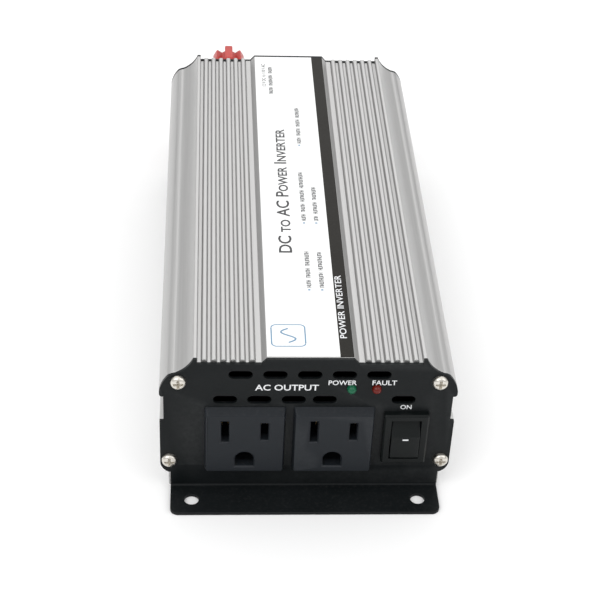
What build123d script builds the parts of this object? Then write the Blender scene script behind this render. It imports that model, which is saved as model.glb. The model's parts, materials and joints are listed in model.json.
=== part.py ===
"""A compact DC to AC power inverter in a finned aluminium case, built as an assembly of separate pieces.

Frame, in millimetres: X is to the right and Y to the back when the AC outlets face the viewer, Z is up.
The origin is the centre of the four mounting holes, on the surface that the inverter is bolted to.
The front panel with the outlets faces -Y, the DC terminals and the fan face +Y.
"""

from build123d import *
import math
import os

# ---------------------------------------------------------------- overall sizes
CASE_LENGTH = 192.4  # over both end panels
CASE_WIDTH = 95.2
CASE_HEIGHT = 55.4  # from the mounting surface to the label plateau
PANEL_THICKNESS = 1.2
WALL = 1.8  # of both case extrusions
SLIP = 0.1  # gap between pieces that slide into each other when assembled
RUNNING_GAP = 0.05  # radial gap of a pin or shaft that turns

# ---------------------------------------------------------------- upper extrusion
PLATEAU_HALF = 13.8  # raised strip that carries the label
PLATEAU_RAMP = 1.6
LAND_DROP = 1.9  # from the plateau down to the level beside the ribs
LAND_WIDTH = 1.85
VALLEY_DROP = 0.3  # from the land down to the floor between the ribs
RIB_START = 0.1  # from the land to the foot of the first rib
RIB_PITCH = 3.0
RIB_HEIGHT = 1.5
RIB_TIP = 1.35
RIB_BASE = 2.0
CREST_INSET = 10.8  # of the crest's outer edge from the side of the case
CREST_WIDTH = 1.2
CREST_DROP = 0.1  # from the plateau down to the crest
SHOULDER_INSET = 5.0  # where the hollow of the shoulder meets its hump
SHOULDER_DROP = 6.1
HOLLOW_SAG = 0.8  # of the hollow below its chord
HUMP_WIDTH = 2.1
HUMP_FALL = 0.8
HUMP_SAG = 0.15
FLANK_SAG = 0.5
FLANK_DROP = 13.1  # from the plateau down to where the flank is upright
LIP_RADIUS = 1.0
GROOVE_DEPTH = 1.3
GROOVE_TOP_DROP = 15.3
GROOVE_HEIGHT = 10.5
UPPER_PORT_INSET = 6.1  # screw ports for the end panels
UPPER_PORT_DROP = 9.0
UPPER_BOSS = 3.8  # half the solid stock round an upper screw port

# ---------------------------------------------------------------- lower extrusion
FLOOR = 2.0
FOOT_INSET = 2.7
FOOT_HEIGHT = 7.1
FOOT_CHAMFER = 0.5
CORNER_HEIGHT = 11.5
LOWER_PORT_INSET = 3.0
LOWER_PORT_HEIGHT = 12.8
LOWER_BOSS_WIDTH = 6.4
LOWER_BOSS_RISE = 3.8
TONGUE_HEIGHT = 3.0
TONGUE_THICKNESS = 1.2
BOARD_SHELF = 7.3  # height of the shelf that the main board slides on
BOARD_SLOT = 1.9
BOARD_GRIP = 1.9  # how far the shelf reaches under the board
RAIL_THICKNESS = 1.4

# ---------------------------------------------------------------- end panels
NECK_INSET = 3.3
FLANGE_LENGTH = 12.9
FLANGE_CORNER = 2.6
BEND_RADIUS = 0.8
MOUNT_HOLE_RADIUS = 2.4
MOUNT_HOLE_INSET = 10.25  # from the side of the case
MOUNT_HOLE_REACH = 6.8  # from the panel's outer face
PANEL_HOLE_RADIUS = 1.7
SCREW_RADIUS = 1.45
PORT_RADIUS = SCREW_RADIUS + RUNNING_GAP
SCREW_HEAD_RADIUS = 2.6
SCREW_HEAD_HEIGHT = 1.7
SCREW_LENGTH = 9.0
SCREW_ROUND = 1.2  # of a head's edge
RECESS_ARM = 0.7
RECESS_SPAN = 2.8
RECESS_DEPTH = 1.0
SLOT_LENGTH = 7.7
SLOT_HEIGHT = 3.2
SLOT_PITCH = 10.95
UPPER_SLOT_COUNT = 5
UPPER_SLOT_DROP = 6.2
LOWER_SLOT_DROP = 16.6
LOWER_SLOT_PLACES = (-26.7, -15.8, -4.8, 5.1, 30.4)

# ---------------------------------------------------------------- AC outlets
OUTLET_PLACES = (-20.2, 8.45)
OUTLET_WIDTH = 26.3
OUTLET_BOTTOM = 9.7
OUTLET_TOP = 36.0
OUTLET_FACE_WIDTH = 25.0
OUTLET_FACE_TOP = 34.4
OUTLET_FACE_BOTTOM = 10.2
OUTLET_PROUD = 3.0
OUTLET_CORNER = 0.8
OUTLET_BODY_INSET = 0.9  # of the body behind the panel from the rim's outline
OUTLET_DEPTH = 18.0  # behind the panel's outer face
OUTLET_BACK = 2.0
BLADE_SPACING = 12.7
BLADE_HEIGHT = 27.4
BLADE_SLOT_WIDTH = 2.4
NEUTRAL_SLOT = 8.8
LINE_SLOT = 7.2
GROUND_DROP = 11.9
GROUND_SLOT_WIDTH = 5.9
GROUND_SLOT_FLAT = 3.1  # from the ground pin's centre down to the flat
SLOT_LEAD_IN = 0.45
FACE_THICKNESS = 3.6
CHAMBER_MARGIN = 1.2
CONTACT_THICKNESS = 0.5
BLADE_GRIP = 1.5
GROUND_GRIP = 4.7
TAIL_LENGTH = 6.0
TAIL_WIDTH = 5.0
CONTACT_GAP = 3.0  # between a contact and the face that it starts behind
WEB_GAP = 1.0
LATCH_PROUD = 0.7
LATCH_LENGTH = 4.0
LATCH_HEIGHT = 6.0

# ---------------------------------------------------------------- rocker switch
SWITCH_X = 31.85
SWITCH_Z = 23.5
SWITCH_WIDTH = 14.7
SWITCH_HEIGHT = 21.0
SWITCH_PROUD = 2.5
SWITCH_BODY_INSET = 0.9
SWITCH_DEPTH = 14.0
SWITCH_BACK = 1.6
SWITCH_CORNER = 0.8
SWITCH_BEVEL = 0.6
SWITCH_BLADE_WIDTH = 4.8
SWITCH_BLADE_THICKNESS = 0.8
SWITCH_BLADE_LENGTH = 9.0
SWITCH_BLADE_SPACING = 8.0
ROCKER_WIDTH = 9.2
ROCKER_SWING_RADIUS = 8.0  # the rocker's ends are round about the pivot
ROCKER_PROUD = 3.6
ROCKER_RIDGE_RISE = 1.2  # of the ridge above the pivot
ROCKER_SLOPE = 10.5  # degrees, of each half of its face, and its tilt each way
ROCKER_BACK = 5.5  # of the rocker's back behind the panel's outer face
ROCKER_GAP = 0.25
PIVOT_DEPTH = 0.6  # behind the panel's outer face
PIVOT_RADIUS = 1.2
PIVOT_LENGTH = 0.6

# ---------------------------------------------------------------- indicator lamps
LAMP_PLACES = (13.45, 21.45)
LAMP_DROP = 11.8
LAMP_RADIUS = 1.5
LAMP_PROUD = 1.9
LAMP_RIM = 0.4
LAMP_RIM_THICKNESS = 1.0
LAMP_BODY = 4.0  # length behind the panel
LEAD_SPREAD = 2.3
INDICATOR_BOARD_GAP = 1.5  # below the ceiling
LEAD_RADIUS = 0.25
LEAD_SPACING = 2.54
INDICATOR_BOARD_SETBACK = 10.4
INDICATOR_BOARD_WIDTH = 56.0
INDICATOR_BOARD_HEIGHT = 12.6
BOARD_THICKNESS = 1.6

# ---------------------------------------------------------------- label
LABEL_MARGIN = 0.3
LABEL_THICKNESS = 0.2
LABEL_EDGE = 0.1

# ---------------------------------------------------------------- DC terminals
TERMINAL_X = -24.0
POSITIVE_Z = 42.8
NEGATIVE_Z = 18.5
TERMINALS = ((POSITIVE_Z, 1), (NEGATIVE_Z, -1))  # height, and the side that the lug points to
STUD_RADIUS = 3.0
THREAD_PITCH = 1.0
BUSH_RADIUS = 7.4
BUSH_THICKNESS = 3.0
BUSH_NECK_RADIUS = 4.4
BUSH_CHAMFER = 0.8
COLLAR_RADIUS = 5.4
COLLAR_THICKNESS = 1.5
WASHER_RADIUS = 5.6
WASHER_THICKNESS = 1.0
KNOB_RADIUS = 6.8
KNOB_FLUTES = 6
KNOB_FLUTE_RADIUS = 1.4
KNOB_END_BEVEL = 0.5
KNOB_LENGTH = 13.5
KNOB_CAP = 1.5
KNOB_SKIRT = 2.0
STUD_INSIDE = 9.0  # length of stud behind the panel
STUD_NUT_FLATS = 10.0
STUD_NUT_HEIGHT = 4.0
TERMINAL_INNER_WASHER = 1.5
LUG_THICKNESS = 1.5
LUG_WIDTH = 5.0
STUD_END_GAP = 1.0  # below the knob's cap

# ---------------------------------------------------------------- fan
FAN_SIZE = 40.0
FAN_DEPTH = 20.0
FAN_X = 16.5
FAN_Z = 30.8
FAN_BORE = 19.0
FAN_HOLE_SPACING = 32.0
FAN_CORNER = 3.0
FAN_PANEL_HOLE = 18.6
HUB_RADIUS = 11.0
HUB_SETBACK = 1.0
HUB_LENGTH = 14.0
BLADE_TIP_GAP = 0.6
FAN_BLADES = 7
FAN_BLADE_PITCH = 38.0  # degrees that a blade leans along the axis
FAN_BLADE_THICKNESS = 1.0
FAN_SHAFT_RADIUS = 1.5
FAN_BEARING_RADIUS = 4.5
FAN_SPIDER = 2.6
FAN_SPIDER_ARM = 3.0
FAN_BEARING_LENGTH = 9.0
HUB_SHELL = 1.5
HUB_CAP = 1.8
HUB_ROUND = 1.2
BLADE_MARGIN = 2.0  # between the blades and each end of the hub
BLADE_SINK = 0.5  # of the blades' roots into the hub
BEARING_PLAY = 0.5
GUARD_WIRE = 0.8
GUARD_RINGS = (6.5, 10.5, 14.5, 18.5)
GUARD_EYE_RADIUS = 2.9
GUARD_LIFT = 2.0
FAN_SCREW_RADIUS = 1.5
FAN_SCREW_HEAD = 1.8
FAN_NUT_FLATS = 5.5
FAN_NUT_HEIGHT = 2.4

# ---------------------------------------------------------------- chassis ground screw
EARTH_X = -10.5
EARTH_Z = 12.5
EARTH_RADIUS = 2.0
EARTH_NUT_FLATS = 7.0
EARTH_NUT_HEIGHT = 3.2
EARTH_HEAD_RADIUS = 3.8
EARTH_HEAD_HEIGHT = 2.5
EARTH_WASHER_RADIUS = 4.4
EARTH_WASHER_THICKNESS = 1.0
EARTH_LENGTH = 12.0

# ---------------------------------------------------------------- electronics
BOARD_FRONT_MARGIN = 5.0
BOARD_BACK_MARGIN = 26.0
SHEET_THICKNESS = 0.3
SHEET_SIDE_MARGIN = 1.0
SHEET_END_MARGIN = 2.0
CORE_LENGTH = 42.0
CORE_DEPTH = 15.0
CORE_HEIGHT = 33.0
CORE_LEG = 6.0
CENTRE_LEG = 12.0
BOBBIN_WALL = 0.9
TRANSFORMER_GAP = 0.2
TRANSFORMER_LIFT = 1.5  # of the core above the board
PIN_BLOCK = 5.0
PIN_BLOCK_GAP = 0.5
WINDING_CLEARANCE = 0.5
WINDING_BUILD = 6.0
TRANSFORMER_PLACES = (-8.0, 26.0)
TRANSFORMER_X = 6.0
INPUT_CAPACITOR_RADIUS = 6.5
INPUT_CAPACITOR_HEIGHT = 22.0
OUTPUT_CAPACITOR_RADIUS = 9.0
OUTPUT_CAPACITOR_HEIGHT = 28.0
INPUT_CAPACITOR_X = -29.5  # of the first in its row
INPUT_CAPACITOR_COUNT = 4
OUTPUT_CAPACITOR_X = 6.0
OUTPUT_CAPACITOR_Y = -38.0
CAPACITOR_GAP = 1.5
CAPACITOR_GROOVE_HEIGHT = 3.0
CAPACITOR_GROOVE_RADIUS = 0.8
CAPACITOR_ROUND = 0.8
LEAD_LANDING = 9.0  # of the DC leads, along the board's back edge
HEAT_BAR_THICKNESS = 3.0
HEAT_BAR_LENGTH = 108.0
HEAT_BAR_GAP = 0.4
TRANSISTOR_WIDTH = 10.0
TRANSISTOR_BODY = 4.4
TRANSISTOR_TAB = 1.3
TRANSISTOR_TAB_HEIGHT = 3.0
TRANSISTOR_PITCH = 17.0
LEG_THICKNESS = 0.6
LEG_WIDTH = 1.0
CLAMP_THICKNESS = 1.0
CLAMP_MARGIN = 4.0
CLAMP_LIFT = 0.5
CLAMP_HEAD_RADIUS = 2.7
CLAMP_HEAD_HEIGHT = 1.8
CLAMP_SCREW_RADIUS = 1.45
FUSE_X = -32.0  # of the first in its row
FUSE_Y = 35.0
FUSE_PITCH = 6.5
FUSE_COUNT = 3
FUSE_WIDTH = 4.8
FUSE_LENGTH = 19.0
FUSE_GRIP_HEIGHT = 9.0
FUSE_BLADE_SPACING = 12.0
FUSE_BLADE_REACH = 5.0
FUSE_BLADE_WIDTH = 5.0
FUSE_BLADE_THICKNESS = 0.8
FUSE_LIFT = 1.0  # of the grip above the clips
CLIP_WIDTH = 3.2
CLIP_LENGTH = 6.0
CLIP_HEIGHT = 8.0
CLIP_MOUTH = 1.0
CLIP_FLOOR = 1.5
CONTROL_BOARD_X = -30.0
CONTROL_BOARD_START = -35.0
CONTROL_BOARD_LENGTH = 48.0
CONTROL_BOARD_HEIGHT = 24.0
CHIP_COUNT = 3
CHIP_LENGTH = 10.0
CHIP_HEIGHT = 8.0
CHIP_THICKNESS = 1.8
BUZZER_PLACE = (30.0, -55.0)
BUZZER_RADIUS = 6.0
BUZZER_HEIGHT = 9.0
BUZZER_HOLE_RADIUS = 1.0
BUZZER_HOLE_DEPTH = 3.0
CHOKE_PLACE = (-17.0, -50.0)
CHOKE_RADIUS = 10.0
CHOKE_SECTION_RADIUS = 5.4
DC_LEAD_RADIUS = 2.2
LEAD_TURN = 3.4
LEAD_DROP_RADIUS = 8.0
LUG_BARREL_RADIUS = 2.9
LUG_BARREL_LENGTH = 3.6
AC_WIRE_RADIUS = 0.9
AC_WIRE_TURN = 2.4
FAN_WIRE_RADIUS = 0.6

# ---------------------------------------------------------------- places worked out from the sizes
HALF_WIDTH = CASE_WIDTH / 2
FRONT = -CASE_LENGTH / 2  # outer face of the front panel
BACK = CASE_LENGTH / 2
INNER_FRONT = FRONT + PANEL_THICKNESS
INNER_BACK = BACK - PANEL_THICKNESS
LAND_Z = CASE_HEIGHT - LAND_DROP
VALLEY_Z = LAND_Z - VALLEY_DROP
CREST_Z = CASE_HEIGHT - CREST_DROP
CREST_X = HALF_WIDTH - CREST_INSET
CEILING = VALLEY_Z - WALL
GROOVE_X = HALF_WIDTH - GROOVE_DEPTH
GROOVE_TOP = CASE_HEIGHT - GROOVE_TOP_DROP
GROOVE_BOTTOM = GROOVE_TOP - GROOVE_HEIGHT
SEAM = (GROOVE_TOP + GROOVE_BOTTOM) / 2
FOOT_X = HALF_WIDTH - FOOT_INSET
UPPER_PORT = (HALF_WIDTH - UPPER_PORT_INSET, CASE_HEIGHT - UPPER_PORT_DROP)
LOWER_PORT = (HALF_WIDTH - LOWER_PORT_INSET, LOWER_PORT_HEIGHT)
NECK_X = HALF_WIDTH - NECK_INSET
MOUNT_HOLE_X = HALF_WIDTH - MOUNT_HOLE_INSET
MOUNT_HOLE_Y = CASE_LENGTH / 2 + MOUNT_HOLE_REACH
BOARD_BOTTOM = BOARD_SHELF + (BOARD_SLOT - BOARD_THICKNESS) / 2
BOARD_TOP = BOARD_BOTTOM + BOARD_THICKNESS
BOARD_FRONT = INNER_FRONT + BOARD_FRONT_MARGIN
BOARD_BACK = INNER_BACK - BOARD_BACK_MARGIN
GROUND_HEIGHT = BLADE_HEIGHT - GROUND_DROP
LAMP_Z = CASE_HEIGHT - LAMP_DROP
INNER_WALL_X = HALF_WIDTH - WALL
KNOB_START = BACK + BUSH_THICKNESS + COLLAR_THICKNESS + WASHER_THICKNESS


# ---------------------------------------------------------------- helpers
def along_y(sketch, low, high):
    """Extrudes a sketch drawn as (x, z) from y = low to y = high."""
    return extrude(Plane.XZ.offset(-high) * sketch, amount=high - low)


def along_x(sketch, low, high):
    """Extrudes a sketch drawn as (y, z) from x = low to x = high."""
    return extrude(Plane.YZ.offset(low) * sketch, amount=high - low)


def block(x_low, x_high, y_low, y_high, z_low, z_high):
    """A box given by its corners."""
    size = Box(x_high - x_low, y_high - y_low, z_high - z_low)
    return Pos((x_low + x_high) / 2, (y_low + y_high) / 2, (z_low + z_high) / 2) * size


def rod_y(x, z, radius, low, high):
    """A round bar along Y."""
    return along_y(Pos(x, z) * Circle(radius), low, high)


def post(x, y, radius, low, high):
    """A round bar along Z."""
    return Pos(x, y, (low + high) / 2) * Cylinder(radius, high - low)


def closed_outline(half):
    """A face from the right half of an outline that starts and ends on x = 0."""
    return make_face(half + mirror(half, Plane.YZ))


def chain(points):
    """Joins points with lines. A pair of points in place of one point is an arc's middle and end."""
    curve = Curve()
    here = points[0]
    for step in points[1:]:
        if isinstance(step[0], tuple):
            curve += ThreePointArc(here, step[0], step[1])
            here = step[1]
        else:
            curve += Line(here, step)
            here = step
    return curve


def upright_arc_middle(point, upright):
    """The middle of the arc between a point and another one, further out, where the arc runs straight up."""
    across = upright[0] - point[0]
    rise = point[1] - upright[1]
    radius = (across**2 + rise**2) / (2 * across)
    half_turn = math.asin(rise / radius) / 2
    return upright[0] - radius * (1 - math.cos(half_turn)), upright[1] + radius * math.sin(half_turn)


def arc_middle(start, end, sag):
    """The middle of an arc that stands off its chord by sag, to the left of the way from start to end."""
    across = end[0] - start[0]
    rise = end[1] - start[1]
    share = sag / math.hypot(across, rise)
    return (start[0] + end[0]) / 2 - rise * share, (start[1] + end[1]) / 2 + across * share


def shoulder_points():
    """The shoulder: a hollow below the crest, a small hump, the flank, and the lip over the side groove."""
    crest = (CREST_X, CREST_Z)
    notch = (HALF_WIDTH - SHOULDER_INSET, CASE_HEIGHT - SHOULDER_DROP)
    hump = (notch[0] + HUMP_WIDTH, notch[1] - HUMP_FALL)
    flank = (HALF_WIDTH, CASE_HEIGHT - FLANK_DROP)
    lip = LIP_RADIUS * (1 - math.sqrt(0.5))
    return [
        (arc_middle(crest, notch, -HOLLOW_SAG), notch),
        (arc_middle(notch, hump, HUMP_SAG), hump),
        (arc_middle(hump, flank, FLANK_SAG), flank),
        (HALF_WIDTH, GROOVE_TOP + LIP_RADIUS),
        ((HALF_WIDTH - lip, GROOVE_TOP + lip), (HALF_WIDTH - LIP_RADIUS, GROOVE_TOP)),
        (GROOVE_X, GROOVE_TOP),
    ]


def lower_corner_points():
    """From the bottom of the side groove down to the foot."""
    start = (HALF_WIDTH, CORNER_HEIGHT)
    end = (FOOT_X, FOOT_HEIGHT)
    corner = (upright_arc_middle(end, start), end)
    return [(GROOVE_X, GROOVE_BOTTOM), (HALF_WIDTH, GROOVE_BOTTOM), start, corner]


def rib_places():
    """X of each rib on the right half, from the land beside the plateau out to the crest."""
    first = PLATEAU_HALF + PLATEAU_RAMP + LAND_WIDTH + RIB_START + RIB_BASE / 2
    last = CREST_X - CREST_WIDTH - RIB_BASE / 2
    count = int((last - first) / RIB_PITCH) + 1
    return [first + i * RIB_PITCH for i in range(count)]


def mirrored_x(shape):
    """The shape and its mirror image on the other side of x = 0."""
    return [shape, mirror(shape, Plane.YZ)]


# ---------------------------------------------------------------- case
def top_case():
    """The finned upper extrusion, a channel open at the bottom."""
    points = [(0, CASE_HEIGHT), (PLATEAU_HALF, CASE_HEIGHT), (PLATEAU_HALF + PLATEAU_RAMP, LAND_Z)]
    land_end = PLATEAU_HALF + PLATEAU_RAMP + LAND_WIDTH
    points += [(land_end, LAND_Z), (land_end, VALLEY_Z)]
    for x in rib_places():
        tip = VALLEY_Z + RIB_HEIGHT
        points += [(x - RIB_BASE / 2, VALLEY_Z), (x - RIB_TIP / 2, tip)]
        points += [(x + RIB_TIP / 2, tip), (x + RIB_BASE / 2, VALLEY_Z)]
    points += [(CREST_X - CREST_WIDTH, VALLEY_Z), (CREST_X - CREST_WIDTH, CREST_Z), (CREST_X, CREST_Z)]
    points += shoulder_points()
    wall_x = GROOVE_X - WALL
    boss_x = UPPER_PORT[0] - UPPER_BOSS
    boss_z = UPPER_PORT[1] - UPPER_BOSS
    points += [(GROOVE_X, SEAM), (wall_x, SEAM), (wall_x, boss_z)]
    points += [(boss_x + UPPER_BOSS / 2, boss_z), (boss_x, boss_z + UPPER_BOSS / 2)]
    points += [(boss_x, CEILING), (0, CEILING)]
    shell = along_y(closed_outline(chain(points)), INNER_FRONT, INNER_BACK)
    for port in mirrored_x(rod_y(*UPPER_PORT, PORT_RADIUS, INNER_FRONT, INNER_BACK)):
        shell -= port
    return shell


def bottom_case():
    """The lower extrusion: floor, board shelves, screw ports and the tongues inside the seam."""
    top = SEAM - SLIP
    wall_x = GROOVE_X - WALL
    tongue_x = wall_x - SLIP
    boss_x = HALF_WIDTH - LOWER_BOSS_WIDTH
    boss_top = LOWER_PORT_HEIGHT + LOWER_BOSS_RISE
    slot_top = BOARD_SHELF + BOARD_SLOT
    slot_x = FOOT_X - WALL
    rail_x = slot_x - BOARD_GRIP
    points = [(0, 0), (FOOT_X - FOOT_CHAMFER, 0), (FOOT_X, FOOT_CHAMFER), (FOOT_X, FOOT_HEIGHT)]
    corner = lower_corner_points()
    points += [(corner[3][0], corner[2]), corner[1], corner[0], (GROOVE_X, top)]
    points += [(tongue_x, top), (tongue_x, top + TONGUE_HEIGHT)]
    points += [(tongue_x - TONGUE_THICKNESS, top + TONGUE_HEIGHT)]
    points += [(tongue_x - TONGUE_THICKNESS, GROOVE_BOTTOM), (wall_x, GROOVE_BOTTOM - WALL)]
    points += [(INNER_WALL_X, GROOVE_BOTTOM - 2 * WALL), (INNER_WALL_X, boss_top), (boss_x, boss_top)]
    points += [(boss_x, slot_top), (slot_x, slot_top), (slot_x, BOARD_SHELF), (rail_x, BOARD_SHELF)]
    points += [(rail_x, BOARD_SHELF - RAIL_THICKNESS), (slot_x, BOARD_SHELF - RAIL_THICKNESS)]
    points += [(slot_x, FLOOR), (0, FLOOR)]
    shell = along_y(closed_outline(chain(points)), INNER_FRONT, INNER_BACK)
    for port in mirrored_x(rod_y(*LOWER_PORT, PORT_RADIUS, INNER_FRONT, INNER_BACK)):
        shell -= port
    return shell


def panel_outline():
    """The end panels' outline above the flange. It follows the case, but passes straight over the ribs."""
    points = [(0, CASE_HEIGHT), (PLATEAU_HALF, CASE_HEIGHT), (PLATEAU_HALF + PLATEAU_RAMP, LAND_Z)]
    points += [(CREST_X - CREST_WIDTH, LAND_Z), (CREST_X - CREST_WIDTH, CREST_Z), (CREST_X, CREST_Z)]
    points += shoulder_points() + lower_corner_points()
    points += [(NECK_X, FOOT_HEIGHT), (NECK_X, FOOT_HEIGHT / 2), (0, FOOT_HEIGHT / 2)]
    return closed_outline(chain(points))


def bent_flange():
    """The foot of a front panel: a strip bent forward through a right angle, with its mounting holes."""
    outer = BEND_RADIUS + PANEL_THICKNESS
    tip = FRONT - FLANGE_LENGTH
    points = [(INNER_FRONT, FOOT_HEIGHT / 2), (INNER_FRONT, outer)]
    middle = (INNER_FRONT - outer * (1 - math.sqrt(0.5)), outer * (1 - math.sqrt(0.5)))
    points += [(middle, (INNER_FRONT - outer, 0)), (tip, 0), (tip, PANEL_THICKNESS)]
    inner_start = (FRONT - BEND_RADIUS, PANEL_THICKNESS)
    inner_shift = BEND_RADIUS * math.sqrt(0.5)
    inner_middle = (inner_start[0] + inner_shift, outer - inner_shift)
    points += [inner_start, (inner_middle, (FRONT, outer)), (FRONT, FOOT_HEIGHT / 2)]
    points += [(INNER_FRONT, FOOT_HEIGHT / 2)]
    strip = along_x(make_face(chain(points)), -NECK_X, NECK_X)
    corners = strip.edges().filter_by(Axis.Z).group_by(Axis.Y)[0]
    strip = fillet(corners, FLANGE_CORNER)
    for hole in mirrored_x(post(MOUNT_HOLE_X, -MOUNT_HOLE_Y, MOUNT_HOLE_RADIUS, 0, PANEL_THICKNESS)):
        strip -= hole
    return strip


def plain_panel():
    """A front panel with its flange and its four corner screw holes, but no openings."""
    panel = along_y(panel_outline(), FRONT, INNER_FRONT) + bent_flange()
    for port in (UPPER_PORT, LOWER_PORT):
        for hole in mirrored_x(rod_y(*port, PANEL_HOLE_RADIUS, FRONT, INNER_FRONT)):
            panel -= hole
    return panel


def front_panel():
    """The front panel with its vents and the openings for the outlets, the switch and the lamps."""
    cuts = Sketch()
    first = -(UPPER_SLOT_COUNT - 1) / 2 * SLOT_PITCH
    vents = [(first + i * SLOT_PITCH, CASE_HEIGHT - UPPER_SLOT_DROP) for i in range(UPPER_SLOT_COUNT)]
    vents += [(x, CASE_HEIGHT - LOWER_SLOT_DROP) for x in LOWER_SLOT_PLACES]
    for x, z in vents:
        cuts += Pos(x, z) * SlotOverall(SLOT_LENGTH, SLOT_HEIGHT)
    for x in OUTLET_PLACES:
        cuts += Pos(x, outlet_middle()) * Rectangle(*outlet_body(SLIP))
    cuts += Pos(SWITCH_X, SWITCH_Z) * Rectangle(*switch_body(SLIP))
    for x in LAMP_PLACES:
        cuts += Pos(x, LAMP_Z) * Circle(LAMP_RADIUS + RUNNING_GAP)
    return plain_panel() - along_y(cuts, FRONT, INNER_FRONT)


def back_panel():
    """The same pressing turned round, with openings for the fan, the terminals and the ground screw."""
    cuts = Pos(FAN_X, FAN_Z) * Circle(FAN_PANEL_HOLE)
    for x, z in fan_corners():
        cuts += Pos(x, z) * Circle(PANEL_HOLE_RADIUS)
    for z in (POSITIVE_Z, NEGATIVE_Z):
        cuts += Pos(TERMINAL_X, z) * Circle(BUSH_NECK_RADIUS + SLIP)
    cuts += Pos(EARTH_X, EARTH_Z) * Circle(EARTH_RADIUS + SLIP)
    return mirror(plain_panel(), Plane.XZ) - along_y(cuts, INNER_BACK, BACK)


def screw(x, z, face, outward):
    """A pan-head panel screw along Y: its head stands outside the face, its shank runs inward."""
    head = Cylinder(SCREW_HEAD_RADIUS, SCREW_HEAD_HEIGHT, align=(Align.CENTER, Align.CENTER, Align.MIN))
    head = fillet(head.edges().group_by(Axis.Z)[-1], SCREW_ROUND)
    recess = Box(RECESS_SPAN, RECESS_ARM, RECESS_DEPTH) + Box(RECESS_ARM, RECESS_SPAN, RECESS_DEPTH)
    head -= Pos(0, 0, SCREW_HEAD_HEIGHT) * recess
    shank = Cylinder(SCREW_RADIUS, SCREW_LENGTH, align=(Align.CENTER, Align.CENTER, Align.MAX))
    return Pos(x, face, z) * (Rot(-90 * outward, 0, 0) * (head + shank))


def panel_screws(face, outward):
    """The four screws that hold an end panel to the screw ports."""
    places = [(side * x, z) for x, z in (UPPER_PORT, LOWER_PORT) for side in (-1, 1)]
    return [screw(x, z, face, outward) for x, z in places]


def label_plate():
    """The printed film on the plateau."""
    half = PLATEAU_HALF - LABEL_EDGE
    low = INNER_FRONT + LABEL_MARGIN
    high = INNER_BACK - LABEL_MARGIN
    return block(-half, half, low, high, CASE_HEIGHT, CASE_HEIGHT + LABEL_THICKNESS)


# ---------------------------------------------------------------- AC outlets
def outlet_middle():
    """Height of the middle of an outlet's body."""
    return (OUTLET_BOTTOM + OUTLET_TOP) / 2


def outlet_body(extra=0.0):
    """Width and height of an outlet's body behind the panel, with a gap added all round."""
    width = OUTLET_WIDTH - 2 * OUTLET_BODY_INSET
    height = OUTLET_TOP - OUTLET_BOTTOM - 2 * OUTLET_BODY_INSET
    return width + 2 * extra, height + 2 * extra


def ground_opening(x, z, extra=0.0):
    """A D-shaped ground opening, round above and flat below."""
    radius = GROUND_SLOT_WIDTH / 2 + extra
    flat = GROUND_SLOT_FLAT + extra
    return Pos(x, z) * (Circle(radius) + Pos(0, -flat / 2) * Rectangle(2 * radius, flat))


def outlet_openings(x, extra=0.0):
    """The neutral, line and ground openings of one outlet, grown by extra."""
    width = BLADE_SLOT_WIDTH + 2 * extra
    neutral = Pos(x - BLADE_SPACING / 2, BLADE_HEIGHT) * Rectangle(width, NEUTRAL_SLOT + 2 * extra)
    line = Pos(x + BLADE_SPACING / 2, BLADE_HEIGHT) * Rectangle(width, LINE_SLOT + 2 * extra)
    return [neutral, line, ground_opening(x, GROUND_HEIGHT, extra)]


def outlet_housing(x):
    """The moulding of one outlet: a proud face with sloping sides, and a body with three contact chambers."""
    face = FRONT - OUTLET_PROUD
    rim_sketch = RectangleRounded(OUTLET_WIDTH, OUTLET_TOP - OUTLET_BOTTOM, OUTLET_CORNER)
    face_sketch = RectangleRounded(OUTLET_FACE_WIDTH, OUTLET_FACE_TOP - OUTLET_FACE_BOTTOM, OUTLET_CORNER)
    rim = Plane.XZ.offset(-FRONT) * (Pos(x, outlet_middle()) * rim_sketch)
    top = Plane.XZ.offset(-face) * (Pos(x, (OUTLET_FACE_TOP + OUTLET_FACE_BOTTOM) / 2) * face_sketch)
    housing = loft([rim.face(), top.face()])
    body = Pos(x, outlet_middle()) * Rectangle(*outlet_body())
    housing += along_y(body, FRONT, FRONT + OUTLET_DEPTH - OUTLET_BACK)
    for opening, lead_in in zip(outlet_openings(x), outlet_openings(x, SLOT_LEAD_IN)):
        housing -= along_y(opening, face, face + FACE_THICKNESS)
        mouth = Plane.XZ.offset(-face) * lead_in
        throat = Plane.XZ.offset(-face - SLOT_LEAD_IN) * opening
        housing -= loft([mouth.face(), throat.face()])
    for chamber in outlet_openings(x, CHAMBER_MARGIN):
        housing -= along_y(chamber, face + FACE_THICKNESS, FRONT + OUTLET_DEPTH - OUTLET_BACK)
    return housing + outlet_latches(x)


def outlet_latches(x):
    """The two wedges that hold an outlet behind the panel."""
    half = outlet_body()[0] / 2
    foot = (half + LATCH_PROUD, INNER_FRONT)
    wedge = Polyline((half, INNER_FRONT), foot, (half, INNER_FRONT + LATCH_LENGTH), close=True)
    latch = extrude(make_face(wedge), amount=LATCH_HEIGHT)
    latch = Pos(0, 0, outlet_middle() - LATCH_HEIGHT / 2) * latch
    return [Pos(x, 0, 0) * side for side in mirrored_x(latch)]


def outlet_back(x):
    """The cover that closes the chambers, slotted for the contact tails."""
    body = Pos(x, outlet_middle()) * Rectangle(*outlet_body())
    low = FRONT + OUTLET_DEPTH - OUTLET_BACK
    cover = along_y(body, low, low + OUTLET_BACK)
    for tail_x, tail_z in contact_places(x):
        hole = Pos(tail_x, tail_z) * Rectangle(CONTACT_THICKNESS + 2 * SLIP, TAIL_WIDTH + 2 * SLIP)
        cover -= along_y(hole, low, low + OUTLET_BACK)
    return cover


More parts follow.
